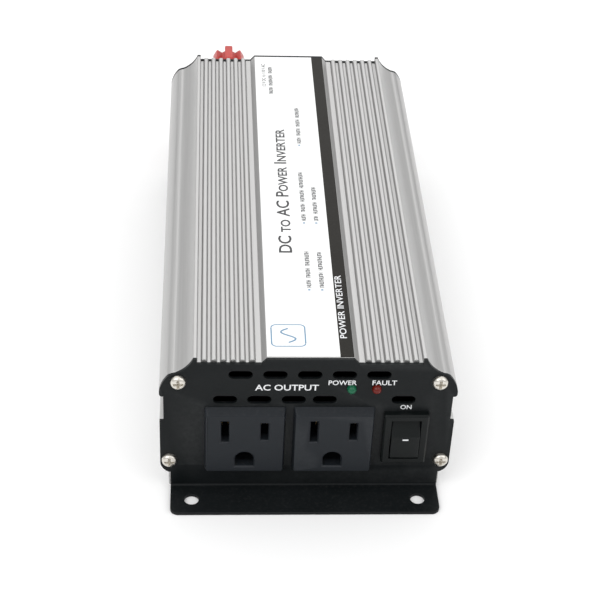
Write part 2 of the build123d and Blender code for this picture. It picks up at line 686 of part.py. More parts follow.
def contact_places(x):
    """Where the neutral, line and ground tails leave an outlet."""
    half = BLADE_SPACING / 2
    return [(x - half, BLADE_HEIGHT), (x + half, BLADE_HEIGHT), (x, GROUND_HEIGHT)]


def outlet_contacts(x):
    """Three folded brass contacts, each two leaves joined by a web that carries a tail."""
    start = FRONT - OUTLET_PROUD + FACE_THICKNESS + CONTACT_GAP
    web = FRONT + OUTLET_DEPTH - OUTLET_BACK - WEB_GAP
    grips = (BLADE_GRIP, BLADE_GRIP, GROUND_GRIP)
    contacts = []
    for (place_x, place_z), grip in zip(contact_places(x), grips):
        outer = grip / 2 + CONTACT_THICKNESS
        low_z = place_z - TAIL_WIDTH / 2
        high_z = place_z + TAIL_WIDTH / 2
        leaf = block(grip / 2, outer, start, web, low_z, high_z)
        clip = leaf + mirror(leaf, Plane.YZ)
        clip += block(-outer, outer, web - CONTACT_THICKNESS, web, low_z, high_z)
        half = CONTACT_THICKNESS / 2
        tail_end = FRONT + OUTLET_DEPTH + TAIL_LENGTH
        clip += block(-half, half, web - CONTACT_THICKNESS, tail_end, low_z, high_z)
        contacts.append(Pos(place_x, 0, 0) * clip)
    return contacts


# ---------------------------------------------------------------- rocker switch
def switch_body(extra=0.0):
    """Width and height of the switch's body behind the panel, with a gap added all round."""
    width = SWITCH_WIDTH - 2 * SWITCH_BODY_INSET + 2 * extra
    return width, SWITCH_HEIGHT - 2 * SWITCH_BODY_INSET + 2 * extra


def switch_housing():
    """The switch's rim and body, hollow for the rocker, with two pivot sockets."""
    place = Pos(SWITCH_X, SWITCH_Z)
    outline = place * RectangleRounded(SWITCH_WIDTH, SWITCH_HEIGHT, SWITCH_CORNER)
    rim = along_y(outline, FRONT - SWITCH_PROUD, FRONT)
    rim = chamfer(rim.faces().sort_by(Axis.Y)[0].edges(), SWITCH_BEVEL)
    housing = rim + along_y(place * Rectangle(*switch_body()), FRONT, FRONT + SWITCH_DEPTH)
    opening = (ROCKER_WIDTH + 2 * ROCKER_GAP, 2 * (ROCKER_SWING_RADIUS + ROCKER_GAP))
    cavity = along_y(place * Rectangle(*opening), FRONT - SWITCH_PROUD, FRONT + SWITCH_DEPTH - SWITCH_BACK)
    housing -= cavity
    socket_reach = ROCKER_WIDTH / 2 + ROCKER_GAP + PIVOT_LENGTH
    socket = along_x(Pos(pivot_y(), SWITCH_Z) * Circle(PIVOT_RADIUS + RUNNING_GAP), -socket_reach, socket_reach)
    housing -= Pos(SWITCH_X, 0, 0) * socket
    for z in terminal_heights():
        slot = Pos(SWITCH_X, z) * Rectangle(SWITCH_BLADE_WIDTH + 2 * SLIP, SWITCH_BLADE_THICKNESS + 2 * SLIP)
        housing -= along_y(slot, FRONT + SWITCH_DEPTH - SWITCH_BACK, FRONT + SWITCH_DEPTH)
    return housing


def pivot_y():
    """Y of the rocker's pivot."""
    return FRONT + PIVOT_DEPTH


def terminal_heights():
    """Heights of the switch's two blades."""
    return (SWITCH_Z - SWITCH_BLADE_SPACING / 2, SWITCH_Z + SWITCH_BLADE_SPACING / 2)


def switch_rocker():
    """The rocker, pressed in at its top. Its ends are round about the pivot, so they clear the rim."""
    ridge = -(PIVOT_DEPTH + ROCKER_PROUD)
    reach = ROCKER_SWING_RADIUS + 2
    fall = reach * math.tan(math.radians(ROCKER_SLOPE))
    back = ROCKER_BACK - PIVOT_DEPTH
    top = ROCKER_RIDGE_RISE + reach
    bottom = ROCKER_RIDGE_RISE - reach
    section = Polyline((ridge, ROCKER_RIDGE_RISE), (ridge + fall, top), (back, top), (back, bottom),
                       (ridge + fall, bottom), close=True)
    section = make_face(section) & Circle(ROCKER_SWING_RADIUS)
    paddle = along_x(section, -ROCKER_WIDTH / 2, ROCKER_WIDTH / 2)
    pin_reach = ROCKER_WIDTH / 2 + ROCKER_GAP + PIVOT_LENGTH - RUNNING_GAP
    paddle += along_x(Circle(PIVOT_RADIUS), -pin_reach, pin_reach)
    return Pos(SWITCH_X, pivot_y(), SWITCH_Z) * (Rot(-ROCKER_SLOPE, 0, 0) * paddle)


def switch_terminals():
    """The two blades behind the switch."""
    low = FRONT + SWITCH_DEPTH - SWITCH_BACK
    x = SWITCH_BLADE_WIDTH / 2
    half = SWITCH_BLADE_THICKNESS / 2
    blades = [block(-x, x, low, switch_blade_end(), z - half, z + half) for z in terminal_heights()]
    return [Pos(SWITCH_X, 0, 0) * blade for blade in blades]


def switch_blade_end():
    """Y of the inner ends of the switch's blades."""
    return FRONT + SWITCH_DEPTH - SWITCH_BACK + SWITCH_BLADE_LENGTH


# ---------------------------------------------------------------- indicator lamps
def lamp(x):
    """A round lamp with a domed nose, pushed through the panel from behind."""
    dome_centre = FRONT - LAMP_PROUD + LAMP_RADIUS
    nose = Pos(x, dome_centre, LAMP_Z) * Sphere(LAMP_RADIUS)
    barrel = rod_y(x, LAMP_Z, LAMP_RADIUS, dome_centre, INNER_FRONT + LAMP_BODY)
    rim = rod_y(x, LAMP_Z, LAMP_RADIUS + LAMP_RIM, INNER_FRONT, INNER_FRONT + LAMP_RIM_THICKNESS)
    return nose + barrel + rim


def lamp_leads():
    """The four wires that carry the lamps on the indicator board."""
    low = INNER_FRONT + LAMP_BODY
    high = FRONT + INDICATOR_BOARD_SETBACK
    places = [x + side * LEAD_SPREAD / 2 for x in LAMP_PLACES for side in (-1, 1)]
    return [rod_y(x, LAMP_Z, LEAD_RADIUS, low, high) for x in places]


def indicator_board():
    """The upright board behind the upper vents, which carries the lamps."""
    low = FRONT + INDICATOR_BOARD_SETBACK
    top = CEILING - INDICATOR_BOARD_GAP
    bottom = top - INDICATOR_BOARD_HEIGHT
    half = INDICATOR_BOARD_WIDTH / 2
    return block(-half, half, low, low + BOARD_THICKNESS, bottom, top)


# ---------------------------------------------------------------- DC terminals
def hexagon(flats):
    """A hexagon by its width over the flats."""
    return RegularPolygon(flats / math.sqrt(3), 6)


def terminal_bush(z):
    """The insulating bush outside the panel, with a neck through the panel's hole."""
    bush = rod_y(TERMINAL_X, z, BUSH_RADIUS, BACK, BACK + BUSH_THICKNESS)
    bush = chamfer(bush.edges().group_by(Axis.Y)[-1], BUSH_CHAMFER)
    bush += rod_y(TERMINAL_X, z, BUSH_NECK_RADIUS, INNER_BACK, BACK)
    return bush - rod_y(TERMINAL_X, z, STUD_RADIUS + SLIP, INNER_BACK, BACK + BUSH_THICKNESS)


def terminal_stud(z):
    """The brass stud with the collar that the cable's ring lies on."""
    low = INNER_BACK - STUD_INSIDE
    high = KNOB_START + KNOB_LENGTH - KNOB_CAP - STUD_END_GAP
    stud = rod_y(TERMINAL_X, z, STUD_RADIUS, low, high)
    start = BACK + BUSH_THICKNESS
    return stud + rod_y(TERMINAL_X, z, COLLAR_RADIUS, start, start + COLLAR_THICKNESS)


def ring(x, z, outer, inner, low, high):
    """A flat ring about an axis along Y."""
    return along_y(Pos(x, z) * (Circle(outer) - Circle(inner)), low, high)


def terminal_washer(z):
    """The plain washer that the knob presses on the cable's ring."""
    start = BACK + BUSH_THICKNESS + COLLAR_THICKNESS
    return ring(TERMINAL_X, z, WASHER_RADIUS, STUD_RADIUS + SLIP, start, start + WASHER_THICKNESS)


def terminal_knob(z):
    """The fluted plastic knob, bored for the stud and closed at its outer end."""
    section = Circle(KNOB_RADIUS)
    for i in range(KNOB_FLUTES):
        angle = 360 / KNOB_FLUTES * (i + 0.5) + 90
        section -= Rot(0, 0, angle) * (Pos(KNOB_RADIUS, 0) * Circle(KNOB_FLUTE_RADIUS))
    place = Pos(TERMINAL_X, z)
    start = KNOB_START + KNOB_SKIRT
    end = KNOB_START + KNOB_LENGTH
    knob = along_y(place * section, start, end)
    knob = chamfer(knob.edges().group_by(Axis.Y)[-1], KNOB_END_BEVEL)
    knob += along_y(place * Circle(WASHER_RADIUS), KNOB_START, start)
    bore = place * Circle(STUD_RADIUS + RUNNING_GAP)
    return knob - along_y(bore, KNOB_START, end - KNOB_CAP)


def terminal_inner_washer(z):
    """The insulating ring between the panel and the cable lug inside."""
    low = INNER_BACK - TERMINAL_INNER_WASHER
    return ring(TERMINAL_X, z, BUSH_RADIUS, STUD_RADIUS + SLIP, low, INNER_BACK)


def lug_barrel_y():
    """Y of the axis of a lug's barrel."""
    return INNER_BACK - TERMINAL_INNER_WASHER - LUG_BARREL_RADIUS


def terminal_lug(z, side):
    """The copper lug on the stud inside the case, with a barrel for its lead on the side given by its sign."""
    high = INNER_BACK - TERMINAL_INNER_WASHER
    lug = ring(0, z, BUSH_RADIUS - 1, STUD_RADIUS + SLIP, high - LUG_THICKNESS, high)
    lug += block(STUD_RADIUS + 2, BUSH_RADIUS + 1, high - LUG_THICKNESS, high, z - LUG_WIDTH / 2,
                 z + LUG_WIDTH / 2)
    barrel = Pos(lug_barrel_y(), z) * Circle(LUG_BARREL_RADIUS)
    lug += along_x(barrel, BUSH_RADIUS, BUSH_RADIUS + LUG_BARREL_LENGTH)
    return Pos(TERMINAL_X, 0, 0) * (lug if side > 0 else mirror(lug, Plane.YZ))


def terminal_nut(z):
    """The nut that draws the stud tight on the panel."""
    high = INNER_BACK - TERMINAL_INNER_WASHER - LUG_THICKNESS
    outline = Pos(TERMINAL_X, z) * (hexagon(STUD_NUT_FLATS) - Circle(STUD_RADIUS + RUNNING_GAP))
    return along_y(outline, high - STUD_NUT_HEIGHT, high)


# ---------------------------------------------------------------- fan
def fan_corners():
    """The four fixing holes of the fan."""
    half = FAN_HOLE_SPACING / 2
    return [(FAN_X + i * half, FAN_Z + j * half) for i in (-1, 1) for j in (-1, 1)]


def fan_frame():
    """The square frame with its bore, the rear spider and the bearing tube."""
    low = INNER_BACK - FAN_DEPTH
    centre = Pos(FAN_X, FAN_Z)
    square = centre * (RectangleRounded(FAN_SIZE, FAN_SIZE, FAN_CORNER) - Circle(FAN_BORE))
    for x, z in fan_corners():
        square -= Pos(x, z) * Circle(FAN_SCREW_RADIUS + SLIP)
    frame = along_y(square, low, INNER_BACK)
    spokes = Circle(HUB_RADIUS)
    for i in range(3):
        arm = Rot(0, 0, 90 + 120 * i) * (Pos(FAN_BORE / 2 + 0.5, 0) * Rectangle(FAN_BORE + 1, FAN_SPIDER_ARM))
        spokes += arm
    frame += along_y(centre * (spokes & Circle(FAN_BORE + 0.5)), low, low + FAN_SPIDER)
    tube = Circle(FAN_BEARING_RADIUS) - Circle(FAN_SHAFT_RADIUS + RUNNING_GAP)
    frame += along_y(centre * tube, low + FAN_SPIDER, low + FAN_SPIDER + FAN_BEARING_LENGTH)
    return frame


def fan_rotor():
    """The hub, its shaft and the leaning blades."""
    front = INNER_BACK - HUB_SETBACK
    back = front - HUB_LENGTH
    centre = Pos(FAN_X, FAN_Z)
    hub = along_y(centre * Circle(HUB_RADIUS), back, front)
    hub = fillet(hub.edges().group_by(Axis.Y)[-1], HUB_ROUND)
    hub -= along_y(centre * Circle(HUB_RADIUS - HUB_SHELL), back, front - HUB_CAP)
    shaft_end = INNER_BACK - FAN_DEPTH + FAN_SPIDER + BEARING_PLAY
    hub += along_y(centre * Circle(FAN_SHAFT_RADIUS), shaft_end, front - HUB_CAP)
    reach = FAN_BORE - BLADE_TIP_GAP
    middle = (back + front) / 2
    span = HUB_LENGTH - 2 * BLADE_MARGIN
    blade = Box(FAN_BLADE_THICKNESS, span / math.cos(math.radians(FAN_BLADE_PITCH)), reach - HUB_RADIUS + 3)
    blade = Rot(0, 0, FAN_BLADE_PITCH) * blade
    root = HUB_RADIUS - BLADE_SINK
    blade = Pos(0, 0, (reach + root) / 2) * blade
    limit = along_y(Circle(reach) - Circle(root), -span / 2, span / 2)
    rotor = hub
    for i in range(FAN_BLADES):
        turned = Rot(0, 360 / FAN_BLADES * i, 0) * (blade & limit)
        rotor += Pos(FAN_X, middle, FAN_Z) * turned
    return rotor


def fan_guard():
    """The wire guard outside the panel: rings on four spokes that end in eyes under the screws."""
    wire_y = BACK + GUARD_LIFT
    guard = Part()
    for radius in GUARD_RINGS:
        hoop = Rot(90, 0, 0) * Torus(radius, GUARD_WIRE)
        guard += Pos(FAN_X, wire_y, FAN_Z) * hoop
    for x, z in fan_corners():
        away = math.atan2(z - FAN_Z, x - FAN_X)
        inner = GUARD_RINGS[0]
        outer = FAN_HOLE_SPACING / math.sqrt(2) - GUARD_EYE_RADIUS + SLIP
        spoke_y = wire_y - GUARD_WIRE * 0.9
        spoke = Cylinder(GUARD_WIRE, outer - inner, align=(Align.CENTER, Align.CENTER, Align.MIN))
        spoke = Pos(0, 0, inner) * spoke
        turn = Rot(0, 90 - math.degrees(away), 0)
        guard += Pos(FAN_X, spoke_y, FAN_Z) * (turn * spoke)
        eye = ring(x, z, GUARD_EYE_RADIUS, FAN_SCREW_RADIUS + SLIP, BACK, BACK + 2 * GUARD_WIRE)
        guard += eye
    return guard


def fan_screws():
    """The screws through the guard's eyes, the panel and the fan."""
    face = BACK + 2 * GUARD_WIRE
    end = INNER_BACK - FAN_DEPTH - FAN_NUT_HEIGHT - 1
    top = face + FAN_SCREW_HEAD
    screws = []
    for x, z in fan_corners():
        head = rod_y(x, z, GUARD_EYE_RADIUS - SLIP, face, top)
        head = fillet(head.edges().group_by(Axis.Y)[-1], SCREW_ROUND)
        cross = Rectangle(RECESS_SPAN, RECESS_ARM) + Rectangle(RECESS_ARM, RECESS_SPAN)
        recess = along_y(Pos(x, z) * cross, top - RECESS_DEPTH, top)
        screws.append(head - recess + rod_y(x, z, FAN_SCREW_RADIUS, end, face))
    return screws


def fan_nuts():
    """The nuts on the inner ends of the fan screws."""
    high = INNER_BACK - FAN_DEPTH
    outline = hexagon(FAN_NUT_FLATS) - Circle(FAN_SCREW_RADIUS + RUNNING_GAP)
    return [along_y(Pos(x, z) * outline, high - FAN_NUT_HEIGHT, high) for x, z in fan_corners()]


# ---------------------------------------------------------------- chassis ground screw
def earth_screw():
    """The chassis ground screw, put in from inside, with its shank standing out of the back panel."""
    shank = rod_y(EARTH_X, EARTH_Z, EARTH_RADIUS, INNER_BACK, BACK + EARTH_LENGTH)
    head = rod_y(EARTH_X, EARTH_Z, EARTH_HEAD_RADIUS, INNER_BACK - EARTH_HEAD_HEIGHT, INNER_BACK)
    return shank + head


def earth_nuts():
    """The nut that fixes the ground screw, and the one that clamps a wire."""
    outline = Pos(EARTH_X, EARTH_Z) * (hexagon(EARTH_NUT_FLATS) - Circle(EARTH_RADIUS + RUNNING_GAP))
    second = BACK + EARTH_NUT_HEIGHT + EARTH_WASHER_THICKNESS
    return [along_y(outline, BACK, BACK + EARTH_NUT_HEIGHT), along_y(outline, second, second + EARTH_NUT_HEIGHT)]


def earth_washer():
    """The washer between the two ground nuts."""
    low = BACK + EARTH_NUT_HEIGHT
    high = low + EARTH_WASHER_THICKNESS
    return ring(EARTH_X, EARTH_Z, EARTH_WASHER_RADIUS, EARTH_RADIUS + SLIP, low, high)


# ---------------------------------------------------------------- electronics
def main_board():
    """The main circuit board, which slides on the shelves of the lower extrusion."""
    half = FOOT_X - WALL - SLIP
    return block(-half, half, BOARD_FRONT, BOARD_BACK, BOARD_BOTTOM, BOARD_TOP)


def insulating_sheet():
    """The film on the floor under the board."""
    half = FOOT_X - WALL - SHEET_SIDE_MARGIN
    front = INNER_FRONT + SHEET_END_MARGIN
    back = INNER_BACK - SHEET_END_MARGIN
    return block(-half, half, front, back, FLOOR, FLOOR + SHEET_THICKNESS)


def transformer_core(y):
    """A pair of E cores: an upright frame with a centre leg."""
    bottom = BOARD_TOP + TRANSFORMER_LIFT
    frame = block(-CORE_LENGTH / 2, CORE_LENGTH / 2, y - CORE_DEPTH / 2, y + CORE_DEPTH / 2,
                  bottom, bottom + CORE_HEIGHT)
    window_low = CENTRE_LEG / 2
    window_high = CORE_LENGTH / 2 - CORE_LEG
    window = block(window_low, window_high, y - CORE_DEPTH / 2, y + CORE_DEPTH / 2,
                   bottom + CORE_LEG, bottom + CORE_HEIGHT - CORE_LEG)
    for opening in mirrored_x(window):
        frame -= opening
    return Pos(TRANSFORMER_X, 0, 0) * frame


def sleeve(y, inner, outer, low, high):
    """An upright rectangular tube round a transformer's centre leg, by its inner and outer margins."""
    half_x = CENTRE_LEG / 2
    half_y = CORE_DEPTH / 2
    big = block(-half_x - outer, half_x + outer, y - half_y - outer, y + half_y + outer, low, high)
    big = fillet(big.edges().filter_by(Axis.Z), max(outer / 2, 0.3))
    hole = block(-half_x - inner, half_x + inner, y - half_y - inner, y + half_y + inner, low, high)
    return Pos(TRANSFORMER_X, 0, 0) * (big - hole)


def transformer_bobbin(y):
    """The bobbin on the centre leg, with a flange at each end and pins' blocks on the board."""
    low = BOARD_TOP + TRANSFORMER_LIFT + CORE_LEG + TRANSFORMER_GAP
    high = BOARD_TOP + TRANSFORMER_LIFT + CORE_HEIGHT - CORE_LEG - TRANSFORMER_GAP
    wall = TRANSFORMER_GAP + BOBBIN_WALL
    bobbin = sleeve(y, TRANSFORMER_GAP, wall, low, high)
    flange = wall + WINDING_BUILD
    for start in (low, high - BOBBIN_WALL):
        bobbin += sleeve(y, TRANSFORMER_GAP, flange, start, start + BOBBIN_WALL)
    edge = CORE_DEPTH / 2 + TRANSFORMER_GAP + PIN_BLOCK_GAP
    foot = block(-CENTRE_LEG / 2, CENTRE_LEG / 2, edge, edge + PIN_BLOCK, BOARD_TOP, low)
    for piece in (foot, mirror(foot, Plane.XZ)):
        bobbin += Pos(TRANSFORMER_X, y, 0) * piece
    return bobbin


def transformer_winding(y):
    """The wound and taped coil between the bobbin's flanges."""
    margin = BOBBIN_WALL + TRANSFORMER_GAP
    low = BOARD_TOP + TRANSFORMER_LIFT + CORE_LEG + margin
    high = BOARD_TOP + TRANSFORMER_LIFT + CORE_HEIGHT - CORE_LEG - margin
    return sleeve(y, margin, margin + WINDING_BUILD - WINDING_CLEARANCE, low, high)


def capacitor(x, y, radius, height):
    """An upright electrolytic capacitor with a rolled groove near its foot."""
    can = post(x, y, radius, BOARD_TOP, BOARD_TOP + height)
    can = fillet(can.edges().group_by(Axis.Z)[-1], CAPACITOR_ROUND)
    groove = Pos(x, y, BOARD_TOP + CAPACITOR_GROOVE_HEIGHT) * Torus(radius + 0.3, CAPACITOR_GROOVE_RADIUS)
    return can - groove


def input_capacitors():
    """The row of capacitors beside the DC terminals."""
    y = BOARD_BACK - LEAD_LANDING - INPUT_CAPACITOR_RADIUS
    gap = 2 * INPUT_CAPACITOR_RADIUS + CAPACITOR_GAP
    sizes = (INPUT_CAPACITOR_RADIUS, INPUT_CAPACITOR_HEIGHT)
    return [capacitor(INPUT_CAPACITOR_X + i * gap, y, *sizes) for i in range(INPUT_CAPACITOR_COUNT)]


def output_capacitors():
    """The pair of high-voltage capacitors."""
    gap = 2 * OUTPUT_CAPACITOR_RADIUS + CAPACITOR_GAP
    sizes = (OUTPUT_CAPACITOR_RADIUS, OUTPUT_CAPACITOR_HEIGHT)
    return [capacitor(OUTPUT_CAPACITOR_X + i * gap, OUTPUT_CAPACITOR_Y, *sizes) for i in range(2)]


def heat_bar_range():
    """Heights of the heat bars, between the lower boss and the step in the wall."""
    return LOWER_PORT_HEIGHT + LOWER_BOSS_RISE + HEAT_BAR_GAP, GROOVE_BOTTOM - 2 * WALL - HEAT_BAR_GAP


def heat_bar():
    """The aluminium bar that carries the heat of the right-hand transistors to the side wall."""
    low, high = heat_bar_range()
    bar = block(INNER_WALL_X - HEAT_BAR_THICKNESS, INNER_WALL_X,
                -HEAT_BAR_LENGTH / 2, HEAT_BAR_LENGTH / 2, low, high)
    for y in clamp_screw_places():
        bar -= clamp_screw_hole(y)
    return bar


def clamp_screw_places():
    """Y of the screws between the transistors."""
    return [(i - 1) * 2 * TRANSISTOR_PITCH for i in range(3)]


def clamp_screw_hole(y):
    """The bore for a clamp screw, along X through the clamp and the bar on the right side."""
    z = sum(heat_bar_range()) / 2
    bore = Pos(y, z) * Circle(CLAMP_SCREW_RADIUS + RUNNING_GAP)
    return along_x(bore, transistor_inner_x() - CLAMP_THICKNESS, INNER_WALL_X)


def transistor_inner_x():
    """X of the transistors' faces towards the middle of the case, on the right side."""
    return INNER_WALL_X - HEAT_BAR_THICKNESS - TRANSISTOR_BODY


def transistor(y):
    """A power transistor standing on its three legs with its tab on the heat bar."""
    low, high = heat_bar_range()
    tab_face = INNER_WALL_X - HEAT_BAR_THICKNESS
    half = TRANSISTOR_WIDTH / 2
    body = block(tab_face - TRANSISTOR_BODY, tab_face, y - half, y + half, low, high - TRANSISTOR_TAB_HEIGHT)
    tab = block(tab_face - TRANSISTOR_TAB, tab_face, y - half, y + half, high - TRANSISTOR_TAB_HEIGHT, high)
    piece = body + tab
    leg_x = tab_face - TRANSISTOR_BODY / 2
    for step in (-LEAD_SPACING, 0, LEAD_SPACING):
        leg = Box(LEG_THICKNESS, LEG_WIDTH, low - BOARD_TOP)
        piece += Pos(leg_x, y + step, (low + BOARD_TOP) / 2) * leg
    return piece


def transistors(side, count):
    """A row of transistors on one side."""
    first = -(count - 1) / 2 * TRANSISTOR_PITCH
    places = [first + i * TRANSISTOR_PITCH for i in range(count)]
    row = [transistor(y) for y in places]
    return row if side > 0 else [mirror(piece, Plane.YZ) for piece in row]


def transistor_clamp():
    """The spring strip that presses the right-hand transistors on their bar."""
    low, high = heat_bar_range()
    x = transistor_inner_x()
    half = HEAT_BAR_LENGTH / 2 - CLAMP_MARGIN
    top = high - TRANSISTOR_TAB_HEIGHT
    strip = block(x - CLAMP_THICKNESS, x, -half, half, low + CLAMP_LIFT, top)
    for y in clamp_screw_places():
        strip -= clamp_screw_hole(y)
    return strip


def clamp_screw(y):
    """A screw through the clamp into the heat bar."""
    z = sum(heat_bar_range()) / 2
    x = transistor_inner_x() - CLAMP_THICKNESS
    shank = along_x(Pos(y, z) * Circle(CLAMP_SCREW_RADIUS), x, INNER_WALL_X - CLAMP_LIFT)
    head = along_x(Pos(y, z) * Circle(CLAMP_HEAD_RADIUS), x - CLAMP_HEAD_HEIGHT, x)
    return shank + head


def fuse_places():
    """X of each plug-in fuse."""
    return [FUSE_X + i * FUSE_PITCH for i in range(FUSE_COUNT)]


def blade_fuses():
    """The plug-in fuses in the DC input, each a plastic grip on two blades."""
    half = FUSE_WIDTH / 2
    grip_low = BOARD_TOP + CLIP_HEIGHT + FUSE_LIFT
    fuses = []
    for x in fuse_places():
        fuse = block(x - half, x + half, FUSE_Y - FUSE_LENGTH / 2, FUSE_Y + FUSE_LENGTH / 2,
                     grip_low, grip_low + FUSE_GRIP_HEIGHT)
        for y in fuse_blade_places():
            blade = Box(FUSE_BLADE_THICKNESS, FUSE_BLADE_WIDTH, FUSE_BLADE_REACH)
            fuse += Pos(x, y, grip_low - FUSE_BLADE_REACH / 2) * blade
        fuses.append(fuse)
    return fuses


def fuse_blade_places():
    """Y of the two blades of a fuse."""
    return (FUSE_Y - FUSE_BLADE_SPACING / 2, FUSE_Y + FUSE_BLADE_SPACING / 2)


def fuse_clips():
    """The spring clips that the fuses' blades push into."""
    clips = []
    for x in fuse_places():
        for y in fuse_blade_places():
            clip = Pos(x, y, BOARD_TOP + CLIP_HEIGHT / 2) * Box(CLIP_WIDTH, CLIP_LENGTH, CLIP_HEIGHT)
            mouth = Box(CLIP_MOUTH, CLIP_LENGTH, CLIP_HEIGHT - CLIP_FLOOR)
            clips.append(clip - Pos(x, y, BOARD_TOP + (CLIP_HEIGHT + CLIP_FLOOR) / 2) * mouth)
    return clips


def control_board():
    """The small upright board with the drive and protection circuits."""
    high_x = CONTROL_BOARD_X + BOARD_THICKNESS
    return block(CONTROL_BOARD_X, high_x, CONTROL_BOARD_START, CONTROL_BOARD_START + CONTROL_BOARD_LENGTH,
                 BOARD_TOP, BOARD_TOP + CONTROL_BOARD_HEIGHT)


def control_chips():
    """The integrated circuits on the control board."""
    face = CONTROL_BOARD_X + BOARD_THICKNESS
    middle = BOARD_TOP + CONTROL_BOARD_HEIGHT / 2
    chips = []
    for i in range(CHIP_COUNT):
        y = CONTROL_BOARD_START + CONTROL_BOARD_LENGTH * (i + 0.5) / CHIP_COUNT
        chip = Box(CHIP_THICKNESS, CHIP_LENGTH, CHIP_HEIGHT)
        chips.append(Pos(face + CHIP_THICKNESS / 2, y, middle) * chip)
    return chips


def buzzer():
    """The low-battery buzzer, with a sound hole in its top."""
    top = BOARD_TOP + BUZZER_HEIGHT
    can = post(*BUZZER_PLACE, BUZZER_RADIUS, BOARD_TOP, top)
    return can - post(*BUZZER_PLACE, BUZZER_HOLE_RADIUS, top - BUZZER_HOLE_DEPTH, top)


def choke():
    """The output choke, a wound ring lying on the board."""
    return Pos(*CHOKE_PLACE, BOARD_TOP + CHOKE_SECTION_RADIUS) * Torus(CHOKE_RADIUS, CHOKE_SECTION_RADIUS)


# ---------------------------------------------------------------- wires inside the case
def wire(points, radii, radius):
    """A round wire along straight runs joined by arcs, one radius for each corner."""
    path = FilletPolyline(*points, radius=radii)
    start = Plane(origin=path @ 0, z_dir=path % 0)
    return sweep(start * Circle(radius), path)


def terminal_leads():
    """The heavy DC leads from the lugs to the back of the main board."""
    y = lug_barrel_y()
    landing = BOARD_BACK - LEAD_LANDING / 2
    leads = []
    for z, side in TERMINALS:
        start = TERMINAL_X + side * (BUSH_RADIUS + LUG_BARREL_LENGTH)
        corner = start + side * LEAD_TURN
        points = [(start, y, z), (corner, y, z), (corner, landing, z), (corner, landing, BOARD_TOP)]
        leads.append(wire(points, [LEAD_TURN - SLIP, LEAD_DROP_RADIUS], DC_LEAD_RADIUS))
    return leads


def outlet_wires():
    """The AC wires from the outlets' tails down to the front of the main board."""
    start = FRONT + OUTLET_DEPTH + TAIL_LENGTH
    down = start + 1.5 * AC_WIRE_TURN
    wires = []
    for outlet_x in OUTLET_PLACES:
        for x, z in contact_places(outlet_x):
            points = [(x, start, z), (x, down, z), (x, down, BOARD_TOP)]
            wires.append(wire(points, [AC_WIRE_TURN], AC_WIRE_RADIUS))
    return wires


def switch_wires():
    """The two wires from the switch's blades down to the main board, one behind the other."""
    start = switch_blade_end()
    wires = []
    for i, z in enumerate(terminal_heights()):
        down = start + 1.5 * AC_WIRE_TURN + 3 * AC_WIRE_RADIUS * i
        points = [(SWITCH_X, start, z), (SWITCH_X, down, z), (SWITCH_X, down, BOARD_TOP)]
        wires.append(wire(points, [AC_WIRE_TURN], AC_WIRE_RADIUS))
    return wires


def fan_wires():
    """The two thin wires from the fan's frame down to the main board."""
    start = INNER_BACK - FAN_DEPTH
    z = FAN_Z - FAN_SIZE / 2 + 2 * FAN_WIRE_RADIUS
    landing = BOARD_BACK - LEAD_LANDING / 2
    wires = []
    for i in range(2):
        x = FAN_X - FAN_SIZE / 4 + 2.5 * FAN_WIRE_RADIUS * i
        points = [(x, start, z), (x, landing, z), (x, landing, BOARD_TOP)]
        wires.append(wire(points, [2 * FAN_WIRE_RADIUS], FAN_WIRE_RADIUS))
    return wires


# ---------------------------------------------------------------- writing
def write(name, *shapes):
    """Writes one node from one shape or several separate ones."""
    solids = [solid for shape in shapes for solid in shape.solids()]
    export_step(Compound(children=solids, label=name), f"parts/{name}.step")


